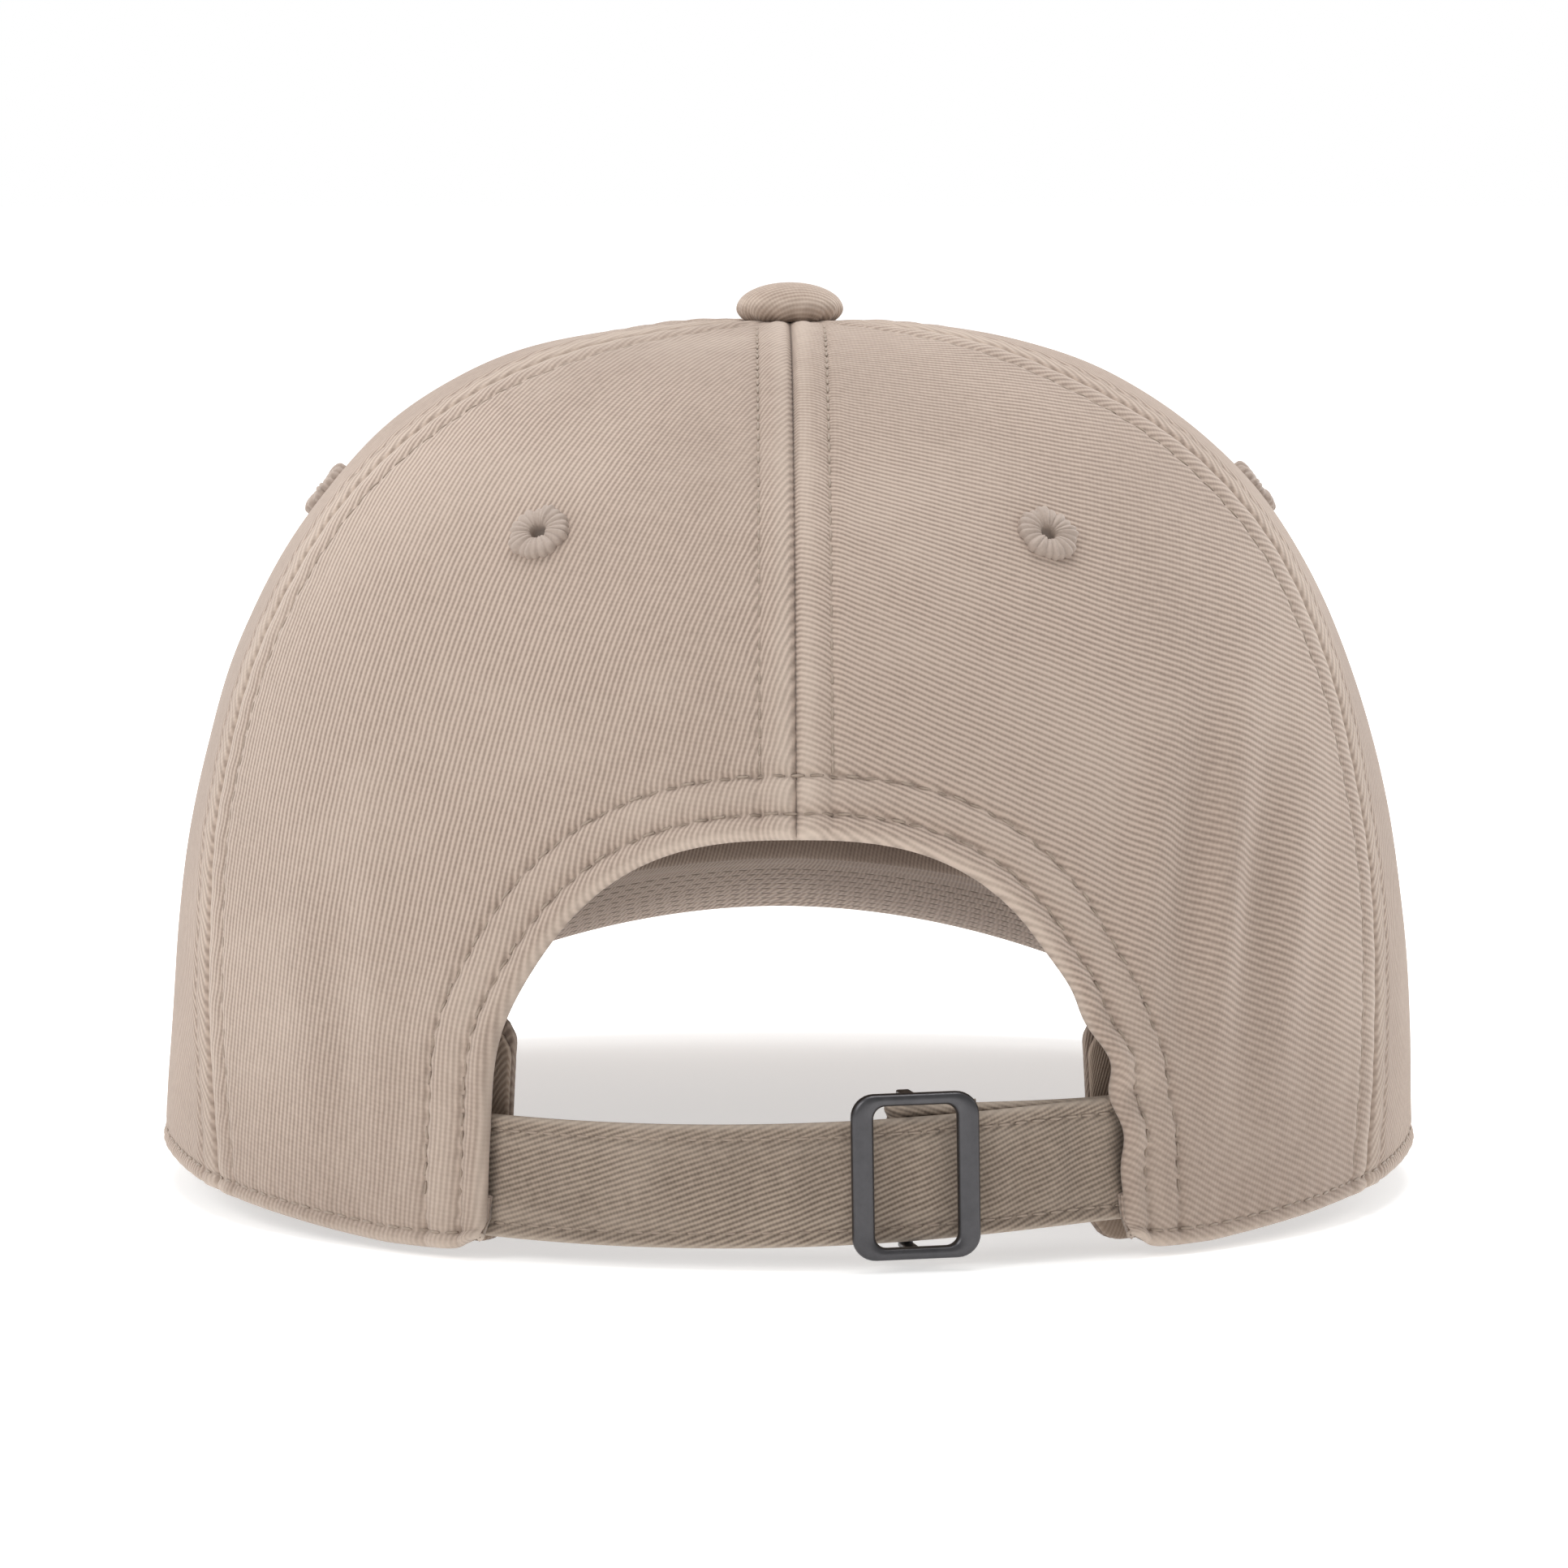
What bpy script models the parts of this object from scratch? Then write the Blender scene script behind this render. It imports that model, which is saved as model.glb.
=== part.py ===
# Baseball cap: six cloth panels sewn into a crown, a curved visor, a sweatband, and an
# adjusting strap that slides through a metal buckle across the rear opening.
# Metres, +Z up. The cap stands on z = 0 and its visor points along -Y.
# The wearer's left is +X. Crown angles start at the front and grow towards +X.

import math

import bmesh
import bpy
from mathutils import Matrix, Vector

# ---- Crown: overall size
crown_half_width = 0.0873
crown_front = 0.098
crown_back = 0.097
crown_height = 0.1175
hem_height_side = 0.0042
hem_height_front = 0.0377
hem_dip_back = 0.0018

# How full the walls (first) and the top (second) are at the sides, front and back.
fullness_side = (2.96, 2.81)
fullness_front = (2.3, 1.7)
fullness_back = (2.55, 2.11)
panel_flattening = 0.043
region_sharpness = 1.5

# ---- Cloth
panel_thickness = 0.0009
tape_thickness = 0.0004
tape_width = 0.012
facing_width = 0.0095
sew_gap = 0.0003
upright_hem = 0.009

# ---- Seams between panels
front_seam = math.radians(60)
rear_seam_hem = math.radians(118.5)
rear_seam_top = math.radians(120)
rear_seam_bow = math.radians(7)
apex_hole_radius = 0.0022
side_tape_end_radius = 0.015

# ---- Rear opening, an arch cut up from the hem
opening_half_width = 0.0403
opening_height = 0.054
opening_fullness = 2.6

# ---- Sweatband
sweatband_height = 0.0315
sweatband_layer = 0.0007
sweatband_overhang_left = 0.0026
sweatband_overhang_right = 0.004

# ---- Eyelets
eyelet_radius = 0.0040
eyelet_hole_radius = 0.0012
eyelet_barrel_radius = 0.0018
eyelet_rise = 0.0006
eyelet_height_on_panel = 0.505

# ---- Button
button_radius = 0.0074
button_height = 0.0054
button_cover_thickness = 0.0007
prong_radius = 0.0014
washer_radius = 0.0064
washer_thickness = 0.0010

# ---- Visor
visor_end = math.radians(65)
visor_reach = 0.163
visor_slope = math.radians(15)
visor_arch_radius = 0.105
visor_flare = 0.007
visor_fullness = 2.5
visor_cover_thickness = 0.0008
visor_board_thickness = 0.0020
visor_board_inset = 0.0016

# ---- Strap, short tab and buckle
strap_width = 0.016
strap_thickness = 0.0014
tab_thickness = 0.0012
strap_tilt = math.radians(0.9)
strap_left_reach = math.radians(46)
strap_right_reach = math.radians(49)
buckle_place = math.radians(10.4)
tab_length = 0.069
tab_return = 0.010
buckle_width = 0.0167
buckle_window_play = 0.0011
buckle_ground_clearance = 0.0002
buckle_thickness = 0.0020
buckle_rail = 0.0016
buckle_side = 0.0029
buckle_corner = 0.0030
buckle_window_corner = 0.0012
buckle_bar_radius = 0.0009
buckle_lug_width = 0.0018
buckle_play = 0.0015

# ---- Worked out from the sizes above
tape_inset = panel_thickness + 0.00045
lining_inset = tape_inset + tape_thickness
visor_stack = visor_board_thickness + 2 * visor_cover_thickness + 2 * sew_gap
crown_y = (visor_reach + visor_stack * math.sin(visor_slope) - crown_back) / 2
buckle_window_height = strap_width + 2 * buckle_window_play
buckle_height = buckle_window_height + 2 * buckle_rail
strap_height = buckle_height / 2 + buckle_ground_clearance
panel_curve = 1.4
gradient_step = 1e-5


def blend_weights(theta):
    """Shares of the front, back and side shape at one angle round the crown."""
    front = max(math.cos(theta), 0.0) ** region_sharpness
    back = max(-math.cos(theta), 0.0) ** region_sharpness
    return front, back, 1 - front - back


def blend(theta, front_value, back_value, side_value):
    front, back, side = blend_weights(theta)
    return front * front_value + back * back_value + side * side_value


def hem_height(theta):
    """The hem rises over the visor, and behind it lies flat on the ground."""
    return max(blend(theta, hem_height_front, -hem_dip_back, hem_height_side), 0.0)


def flattening(theta, t):
    """Each seam stands full, and the cloth halfway between two seams lies flatter."""
    between_seams = 0.5 - 0.5 * math.cos(6 * theta)
    return 1 - panel_flattening * between_seams * math.sin(math.pi * min(max(t, 0), 1))


def crown_reach(theta):
    """Depth of the crown on the side of the centre that this angle looks at."""
    return crown_front if math.cos(theta) > 0 else crown_back


def crown_point(theta, t):
    """A point of the outer face: t is 0 at the hem and 1 at the top."""
    wall = blend(theta, fullness_front[0], fullness_back[0], fullness_side[0])
    top = blend(theta, fullness_front[1], fullness_back[1], fullness_side[1])
    turn = t * math.pi / 2
    rise = math.sin(turn) ** (2 / wall)
    spread = max(math.cos(turn), 0.0) ** (2 / top) * flattening(theta, t)
    hem = hem_height(theta)
    return Vector(
        (
            crown_half_width * math.sin(theta) * spread,
            crown_y - crown_reach(theta) * math.cos(theta) * spread,
            hem + (crown_height - hem) * rise,
        )
    )


def t_at_height(theta, height):
    """The t of the outer face at this crown angle and height."""
    wall = blend(theta, fullness_front[0], fullness_back[0], fullness_side[0])
    hem = hem_height(theta)
    rise = min(max((height - hem) / (crown_height - hem), 0.0), 1.0)
    return math.asin(rise ** (wall / 2)) * 2 / math.pi


def crown_angles(point):
    """Crown angle of any point, and the t of the outer face at that angle and height."""
    y = point.y - crown_y
    depth = crown_front if y < 0 else crown_back
    theta = math.atan2(point.x / crown_half_width, -y / depth)
    return theta, t_at_height(theta, point.z)


def crown_excess(point):
    """Above 0 outside the crown's outer face and below 0 inside it."""
    y = point.y - crown_y
    theta, t = crown_angles(point)
    top = blend(theta, fullness_front[1], fullness_back[1], fullness_side[1])
    spread = math.cos(t * math.pi / 2) ** (2 / top) * flattening(theta, t)
    out = math.hypot(point.x / crown_half_width, y / crown_reach(theta))
    over_top = max(point.z - crown_height, 0.0) / crown_height
    return out - spread + over_top


def crown_normal(point):
    """Outward direction of the crown's face at a point on it."""
    steps = (Vector((1, 0, 0)), Vector((0, 1, 0)), Vector((0, 0, 1)))
    slopes = [
        crown_excess(point + step * gradient_step) - crown_excess(point - step * gradient_step)
        for step in steps
    ]
    return Vector(slopes).normalized()


def below_crown(point, depth):
    """The place under a point of the crown's outer face, this far into the cap."""
    return point - crown_normal(point) * depth


def cast_on_crown(inside, direction):
    """Where a line from a point inside the crown leaves its outer face."""
    near, far = 0.0, 0.25
    for _ in range(44):
        middle = (near + far) / 2
        if crown_excess(inside + direction * middle) < 0:
            near = middle
        else:
            far = middle
    return inside + direction * near


def radius_at(theta, t):
    """Distance of the crown's face from the cap's vertical centre line."""
    point = crown_point(theta, t)
    return math.hypot(point.x, point.y - crown_y)


def t_at_radius(theta, radius):
    """Where the crown comes this close to its centre line, near the top."""
    low, high = 0.5, 1.0
    for _ in range(40):
        middle = (low + high) / 2
        if radius_at(theta, middle) > radius:
            low = middle
        else:
            high = middle
    return low


def rear_seam(t):
    """Angle of the seam between a side panel and a rear panel. It bows towards the side."""
    straight = rear_seam_hem + (rear_seam_top - rear_seam_hem) * t
    return straight - rear_seam_bow * math.sin(math.pi * t**0.7)


def seam_angle(which, t):
    """Seams are numbered 0 at the front, 1 front side, 2 rear side and 3 at the back."""
    return (0.0, front_seam, rear_seam(t), math.pi)[which]


# ---- Building helpers


def material(name, colour, roughness, metallic=0.0):
    surface = bpy.data.materials.new(name)
    surface.use_nodes = True
    shader = surface.node_tree.nodes["Principled BSDF"]
    shader.inputs["Base Color"].default_value = (*colour, 1.0)
    shader.inputs["Roughness"].default_value = roughness
    shader.inputs["Metallic"].default_value = metallic
    surface.diffuse_color = (*colour, 1.0)
    return surface


cloth_colour = (0.46, 0.37, 0.31)
cloth_shade = (0.31, 0.24, 0.19)
tape_colour = (0.36, 0.29, 0.24)
thread_colour = (0.44, 0.35, 0.29)
board_colour = (0.75, 0.75, 0.72)
metal_colour = (0.10, 0.10, 0.10)


def add_object(name, mesh, colour, roughness=0.9, metallic=0.0):
    """Put a mesh in the cap's collection under its own name and material."""
    made = bpy.data.objects.new(name, mesh)
    mesh.materials.append(material(name, colour, roughness, metallic))
    cap.objects.link(made)
    return made


def hide_cutter(made):
    made.hide_render = True
    made.display_type = "WIRE"
    return made


def grid_mesh(name, columns, rows, place):
    """A square grid laid out by place(u, v), with u and v from 0 to 1."""
    mesh = bpy.data.meshes.new(name)
    shape = bmesh.new()
    bmesh.ops.create_grid(shape, x_segments=columns, y_segments=rows, size=0.5)
    for vert in shape.verts:
        vert.co = place(vert.co.x + 0.5, vert.co.y + 0.5)
    shape.to_mesh(mesh)
    shape.free()
    mesh.shade_smooth()
    return mesh


def thicken(made, thickness, offset=-1.0):
    shell = made.modifiers.new("thickness", "SOLIDIFY")
    shell.thickness = thickness
    shell.offset = offset
    shell.use_even_offset = True


def combine(made, other, operation="DIFFERENCE"):
    """Cut another solid out of this one, or join it on."""
    cut = made.modifiers.new(other.name, "BOOLEAN")
    cut.operation = operation
    cut.solver = "EXACT"
    cut.object = other


def turned(name, profile, steps):
    """A solid turned round Z from (radius, height) points that run down its outer side."""
    mesh = bpy.data.meshes.new(name)
    shape = bmesh.new()
    corners = [shape.verts.new((radius, 0, height)) for radius, height in profile]
    for first, second in zip(corners, corners[1:]):
        shape.edges.new((first, second))
    if profile[0][0] > 0:
        shape.edges.new((corners[-1], corners[0]))
    shape.to_mesh(mesh)
    shape.free()
    made = bpy.data.objects.new(name, mesh)
    screw = made.modifiers.new("turn", "SCREW")
    screw.steps = steps
    screw.render_steps = steps
    screw.use_merge_vertices = True
    screw.merge_threshold = 1e-6
    screw.use_smooth_shade = True
    return made


def outline_mesh(name, outlines, thickness):
    """A flat plate in the XY plane with closed outlines; the inner ones are its holes."""
    curve = bpy.data.curves.new(name, "CURVE")
    curve.dimensions = "2D"
    curve.fill_mode = "BOTH"
    curve.extrude = thickness / 2
    for outline in outlines:
        spline = curve.splines.new("POLY")
        spline.points.add(len(outline) - 1)
        for point, place in zip(spline.points, outline):
            point.co = (place[0], place[1], 0, 1)
        spline.use_cyclic_u = True
    flat = bpy.data.objects.new(name, curve)
    cap.objects.link(flat)
    mesh = bpy.data.meshes.new_from_object(flat.evaluated_get(bpy.context.evaluated_depsgraph_get()))
    bpy.data.objects.remove(flat)
    shape = bmesh.new()
    shape.from_mesh(mesh)
    bmesh.ops.remove_doubles(shape, verts=shape.verts, dist=1e-6)
    shape.to_mesh(mesh)
    shape.free()
    return mesh


def rounded_rectangle(width, height, corner, arc_points=5):
    """Corner points of a rectangle with round corners, anticlockwise from the right."""
    points = []
    centres = ((1, 1), (-1, 1), (-1, -1), (1, -1))
    for quarter, (side_x, side_y) in enumerate(centres):
        for step in range(arc_points):
            turn = math.pi / 2 * (quarter + step / (arc_points - 1))
            x = side_x * (width / 2 - corner) + corner * math.cos(turn)
            y = side_y * (height / 2 - corner) + corner * math.sin(turn)
            points.append((x, y))
    return points


# ---- Crown panels


def opening_edge(share, outward=0.0):
    """(x, z) round the rear opening from its +X foot (0) to its -X foot (1)."""
    turn = math.pi * share
    x = math.copysign(abs(math.cos(turn)) ** (2 / opening_fullness), math.cos(turn))
    z = math.sin(turn) ** (2 / opening_fullness)
    across = math.copysign(abs(x) ** (opening_fullness - 1), x) / opening_half_width
    up = z ** (opening_fullness - 1) / opening_height
    length = math.hypot(across, up)
    return (
        opening_half_width * x + outward * across / length,
        opening_height * z + outward * up / length,
    )


def make_opening_cutter():
    """An arch-shaped block that runs out through the back of the crown."""
    steps = 28
    arch = [opening_edge(step / steps) for step in range(steps + 1)]
    foot = -0.02
    outline = [(opening_half_width, foot)] + arch + [(-opening_half_width, foot)]
    outline = outline[::-1]
    depth = crown_back
    mesh = outline_mesh("opening_cutter", [outline], depth)
    made = bpy.data.objects.new("opening_cutter", mesh)
    made.location = (0, crown_y + crown_back / 2 + depth / 2, 0)
    made.rotation_euler = (math.pi / 2, 0, 0)
    cutters.objects.link(made)
    return hide_cutter(made)


def eyelet_frame(theta):
    """Place on a panel where its eyelet sits, with +Z straight out of the cloth."""
    point = crown_point(theta, eyelet_height_on_panel)
    turn = crown_normal(point).to_track_quat("Z", "Y")
    return Matrix.Translation(point) @ turn.to_matrix().to_4x4()


def make_eyelet_cutter(name, frame):
    mesh = bpy.data.meshes.new(name)
    shape = bmesh.new()
    bmesh.ops.create_cone(
        shape,
        cap_ends=True,
        segments=16,
        radius1=eyelet_barrel_radius + sew_gap,
        radius2=eyelet_barrel_radius + sew_gap,
        depth=0.01,
    )
    shape.to_mesh(mesh)
    shape.free()
    made = bpy.data.objects.new(name, mesh)
    made.matrix_world = frame
    cutters.objects.link(made)
    return hide_cutter(made)


def make_panel(name, side, seam, eyelet_theta, opening=None):
    """One gore of the crown between seam number `seam` and the next, on one side."""

    def place(u, v):
        share = v**panel_curve
        first = side * seam_angle(seam, share)
        last = side * seam_angle(seam + 1, share)
        if side < 0:
            first, last = last, first
        top = t_at_radius(first + (last - first) * u, apex_hole_radius)
        share = share * top
        half_gap = sew_gap / 2 / max(radius_at(first, share), apex_hole_radius)
        theta = first + half_gap + (last - first - 2 * half_gap) * u
        point = crown_point(theta, share)
        hem = crown_point(theta, 0.0)
        if point.z - hem.z < upright_hem:
            point.xy = hem.xy
        return point

    made = add_object(name, grid_mesh(name, 9, 18, place), cloth_colour)
    thicken(made, panel_thickness)
    if opening:
        combine(made, opening)
    combine(made, make_eyelet_cutter(name + "_hole", eyelet_frame(side * eyelet_theta)))
    return made


def make_eyelet(name, theta):
    """A ring of close thread stitches round a hole, gripping both faces of the cloth."""
    outer = sew_gap
    inner = -panel_thickness - sew_gap
    profile = [
        (eyelet_hole_radius, outer + eyelet_rise * 0.5),
        (eyelet_barrel_radius, outer + eyelet_rise),
        (eyelet_radius - eyelet_rise, outer + eyelet_rise),
        (eyelet_radius, outer),
        (eyelet_barrel_radius, outer),
        (eyelet_barrel_radius, inner),
        (eyelet_radius - eyelet_rise, inner),
        (eyelet_radius - eyelet_rise, inner - tape_thickness),
        (eyelet_hole_radius, inner - tape_thickness),
    ]
    made = turned(name, profile, 20)
    made.data.materials.append(material(name, thread_colour, 0.7))
    made.matrix_world = eyelet_frame(theta)
    cap.objects.link(made)
    return made


def make_panels():
    opening = make_opening_cutter()
    eyelets = (math.radians(30), math.radians(88), math.radians(147))
    for side, hand in ((1, "left"), (-1, "right")):
        make_panel("front_panel_" + hand, side, 0, eyelets[0])
        make_panel("side_panel_" + hand, side, 1, eyelets[1])
        make_panel("rear_panel_" + hand, side, 2, eyelets[2], opening)
        for place, theta in zip(("front", "side", "rear"), eyelets):
            make_eyelet(f"eyelet_{place}_{hand}", side * theta)


# ---- Tapes inside the crown


def make_side_tape(name, side, seam):
    """A cloth tape that covers the raw edges of one seam, from the hem nearly to the top."""
    top = t_at_radius(side * seam_angle(seam, 1.0), side_tape_end_radius)
    start = sew_gap / crown_height

    def place(u, v):
        t = start + (top - start) * v**panel_curve
        middle = side * seam_angle(seam, t)
        theta = middle + (u - 0.5) * tape_width / radius_at(middle, t)
        return below_crown(crown_point(theta, t), tape_inset)

    made = add_object(name, grid_mesh(name, 2, 18, place), tape_colour)
    thicken(made, tape_thickness)


def make_centre_tape():
    """The long tape from the front hem over the top to the head of the rear opening."""
    inside = Vector((0, crown_y, crown_height * 0.4))
    foot = crown_point(0.0, 0.004) - inside
    first = math.atan2(foot.z, -foot.y)
    end_height = opening_height + facing_width + 3 * sew_gap
    rear = cast_on_crown(Vector((0, crown_y, end_height)), Vector((0, 1, 0))) - inside
    last = math.pi - math.atan2(rear.z, rear.y)

    def place(u, v):
        turn = first + (last - first) * v
        direction = Vector((0, -math.cos(turn), math.sin(turn)))
        start = inside + Vector(((u - 0.5) * tape_width, 0, 0))
        return below_crown(cast_on_crown(start, direction), tape_inset)

    name = "centre_seam_tape"
    made = add_object(name, grid_mesh(name, 2, 44, place), tape_colour)
    thicken(made, tape_thickness)
    frame = Matrix.Translation((0, crown_y, crown_height))
    hole = make_eyelet_cutter("tape_hole", frame)
    hole.scale = (apex_hole_radius / (eyelet_barrel_radius + sew_gap),) * 2 + (1,)
    combine(made, hole)


def make_facing():
    """The arch of cloth tape sewn inside the rear opening's edge."""
    inner_edge = 0.0004

    def place(u, v):
        x, z = opening_edge(u, inner_edge + facing_width * (1 - v))
        point = cast_on_crown(Vector((x, crown_y, max(z, sew_gap))), Vector((0, 1, 0)))
        return below_crown(point, tape_inset)

    name = "rear_opening_facing"
    made = add_object(name, grid_mesh(name, 36, 2, place), tape_colour)
    thicken(made, tape_thickness, 1.0)


def make_tapes():
    for side, hand in ((1, "left"), (-1, "right")):
        make_side_tape("front_seam_tape_" + hand, side, 1)
        make_side_tape("rear_seam_tape_" + hand, side, 2)
    make_centre_tape()
    make_facing()


# ---- Strap arc: the strap lies on a circle that follows the inside of the rear hem


def fit_strap_circle():
    """(centre y, least and greatest radius) of the circle that follows the rear hem."""
    low = strap_height - strap_width / 2
    high = strap_height + strap_width / 2
    corners = [
        crown_point(theta, t_at_height(theta, height))
        for theta in (math.radians(angle) for angle in range(122, 155, 4))
        for height in (low, high)
    ]
    first, second = corners[-1], corners[1]
    near = first.x**2 + first.y**2
    away = second.x**2 + second.y**2
    centre = (away - near) / (2 * (second.y - first.y))
    radii = [math.hypot(point.x, point.y - centre) for point in corners]
    return centre, min(radii), max(radii)


strap_centre_y, hem_radius_least, hem_radius_most = fit_strap_circle()
strap_outer = hem_radius_least - lining_inset - 0.0005
strap_inner = strap_outer - strap_thickness
tab_outer = strap_inner - 0.0004
tab_inner = tab_outer - tab_thickness
bar_radius = tab_inner - buckle_bar_radius - sew_gap
pocket_inset = hem_radius_most - tab_inner + 0.0007
buckle_inner = strap_outer + buckle_play


def hem_theta(angle):
    """Crown angle of the hem point seen at this angle from the strap's centre."""
    low, high = math.pi / 2, math.pi
    for _ in range(40):
        middle = (low + high) / 2
        point = crown_point(middle, 0.0)
        if math.atan2(point.x, point.y - strap_centre_y) > angle:
            low = middle
        else:
            high = middle
    return low


# ---- Sweatband


def sweatband_inset(theta):
    """How deep the band lies: close to the crown in front, past the straps behind."""
    deep_from = math.radians(112)
    deep_blend = math.radians(22)
    share = min(max((abs(theta) - deep_from + deep_blend) / deep_blend, 0.0), 1.0)
    share = share * share * (3 - 2 * share)
    shallow = lining_inset + 0.0005
    return shallow + (pocket_inset - shallow) * share


def make_sweatband_layer(name, extra, layer_height, colour):
    band_radius = hem_radius_least - pocket_inset
    left = math.asin((opening_half_width - sweatband_overhang_left) / band_radius)
    right = math.asin((opening_half_width - sweatband_overhang_right) / band_radius)
    first = -hem_theta(right)
    last = hem_theta(left)

    def place(u, v):
        theta = first + (last - first) * u
        height = hem_height(theta) + sew_gap + (layer_height - sew_gap) * v
        outside = crown_point(theta, t_at_height(theta, height))
        return below_crown(outside, sweatband_inset(theta) + extra)

    made = add_object(name, grid_mesh(name, 60, 3, place), colour)
    thicken(made, sweatband_layer)


def make_sweatband():
    make_sweatband_layer("sweatband_backing", 0.0, sweatband_height - 0.002, tape_colour)
    deeper = sweatband_layer + sew_gap
    make_sweatband_layer("sweatband", deeper, sweatband_height, cloth_shade)


# ---- Button


def dome(radius, height, foot):
    """Profile points from the top centre of a dome out and down to its foot."""
    steps = 7
    points = []
    for step in range(steps + 1):
        turn = math.pi / 2 * step / steps
        rise = foot + (height - foot) * math.cos(turn) ** 0.8
        points.append((radius * math.sin(turn) ** 0.9, rise))
    return points


def make_button():
    wall = button_cover_thickness
    widest = button_height * 0.33
    shell_radius = button_radius - wall - sew_gap
    shell_top = button_height - wall - sew_gap
    tuck = button_radius * 0.62
    inner = dome(button_radius - wall, button_height - wall, widest)
    cover = dome(button_radius, button_height, widest)
    cover += [(button_radius - 0.0008, 0.0), (tuck, 0.0), (tuck, wall)]
    cover += [(button_radius - 0.0008 - wall * 0.4, wall)]
    cover += inner[::-1]
    place_on_top(turned("button_cover", cover, 28), cloth_colour, 0.9)

    base = wall + sew_gap
    end = -washer_drop - washer_thickness - 0.0008
    shell = dome(shell_radius, shell_top, widest)
    shell += [(shell_radius - 0.0008, base), (prong_radius, base), (prong_radius, end), (0, end)]
    place_on_top(turned("button_shell", shell, 24), metal_colour, 0.4, 1.0)

    hole = prong_radius + sew_gap
    washer_top = -washer_drop
    washer = [
        (hole, washer_top),
        (washer_radius, washer_top),
        (washer_radius, washer_top - washer_thickness),
        (hole, washer_top - washer_thickness),
    ]
    place_on_top(turned("button_back", washer, 24), metal_colour, 0.4, 1.0)


washer_drop = lining_inset + 0.0014


def place_on_top(made, colour, roughness, metallic=0.0):
    made.data.materials.append(material(made.name, colour, roughness, metallic))
    made.location = (0, crown_y, crown_height + sew_gap)
    cap.objects.link(made)


# ---- Visor


def visor_outline(share):
    """(x, y) of the visor's outer edge; share runs from -1 at one end to 1 at the other."""
    turn = share * math.pi / 2
    end = crown_point(visor_end, 0.0)
    power = 2 / visor_fullness
    half = end.x + visor_flare * math.sin(2 * abs(turn))
    x = math.copysign(abs(math.sin(turn)) ** power, turn) * half
    y = end.y - (end.y - crown_y + visor_reach) * max(math.cos(turn), 0.0) ** power
    return x, y


def visor_drop(x):
    """How far the arched visor falls at this distance from its middle."""
    return visor_arch_radius - math.sqrt(max(visor_arch_radius**2 - x * x, 0.0))


def visor_edge_height(share):
    """Height of the underside along the outer edge, over the height at its front."""
    x, y = visor_outline(share)
    return (y - crown_y + visor_reach) * math.tan(visor_slope) - visor_drop(x)


def find_visor_lift():
    """Front height of the underside, so that the two low tips just touch the ground."""
    return -min(visor_edge_height(step / 100) for step in range(0, 85))


visor_lift = find_visor_lift()


def visor_underside(share, along):
    """A point of the visor's underside: along is 0 at the crown and 1 at the edge."""
    hem = crown_point(share * visor_end, 0.0)
    root = below_crown(hem, panel_thickness)
    root.z = hem.z - sew_gap - visor_stack
    x, y = visor_outline(share)
    height = visor_lift + visor_edge_height(share)
    end_root = crown_point(visor_end, 0.0).z - sew_gap - visor_stack
    ease = min(max((abs(share) - 0.8) / 0.2, 0.0), 1.0)
    height += (end_root - visor_lift - visor_edge_height(1.0)) * ease * ease
    return root.lerp(Vector((x, y, height)), along)


def visor_point(share, along, level):
    """A point this far above the visor's underside, measured square to it."""
    step = 0.002
    across = visor_underside(share + step, along) - visor_underside(share - step, along)
    outward = visor_underside(share, along + step) - visor_underside(share, along - step)
    return visor_underside(share, along) + outward.cross(across).normalized() * level


def make_visor_layer(name, level, thickness, inset, colour, roughness):
    """One layer of the visor, set back from the outer edge by its inset."""
    ends = 0.985 - 2 * inset / visor_reach

    def place(u, v):
        share = (2 * u - 1) * ends
        rule = (visor_underside(share, 1.0) - visor_underside(share, 0.0)).length
        return visor_point(share, v * (1 - inset / rule), level)

    made = add_object(name, grid_mesh(name, 32, 7, place), colour, roughness)
    thicken(made, thickness)


def make_visor():
    board_level = visor_cover_thickness + sew_gap
    top_level = board_level + visor_board_thickness + sew_gap
    make_visor_layer("visor_under_cover", 0.0, visor_cover_thickness, 0.0, cloth_shade, 0.9)
    make_visor_layer(
        "visor_board", board_level, visor_board_thickness, visor_board_inset, board_colour, 0.5
    )
    make_visor_layer("visor_top_cover", top_level, visor_cover_thickness, 0.0, cloth_colour, 0.9)


# ---- Strap, tab and buckle


def make_strap_frame():
    """The empty that carries the strap, on the arc's axis and tilted with the strap."""
    frame = bpy.data.objects.new("strap_axis", None)
    frame.location = (0, strap_centre_y, strap_height)
    frame.rotation_euler = (0, strap_tilt, 0)
    cap.objects.link(frame)
    return frame


def on_arc(radius, angle, height):
    """Angles grow from straight back towards -X, which is a positive turn about +Z."""
    return Vector((-radius * math.sin(angle), radius * math.cos(angle), height))


def make_long_strap(frame):
    """The strap from its sewn end on the left, through the buckle, into the right pocket."""

    def place(u, v):
        angle = -strap_left_reach + (strap_left_reach + strap_right_reach) * u
        return on_arc(strap_outer, angle, (0.5 - v) * strap_width)

    made = add_object("adjusting_strap", grid_mesh("adjusting_strap", 36, 1, place), cloth_shade)
    thicken(made, strap_thickness, 1.0)
    made.parent = frame


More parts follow.
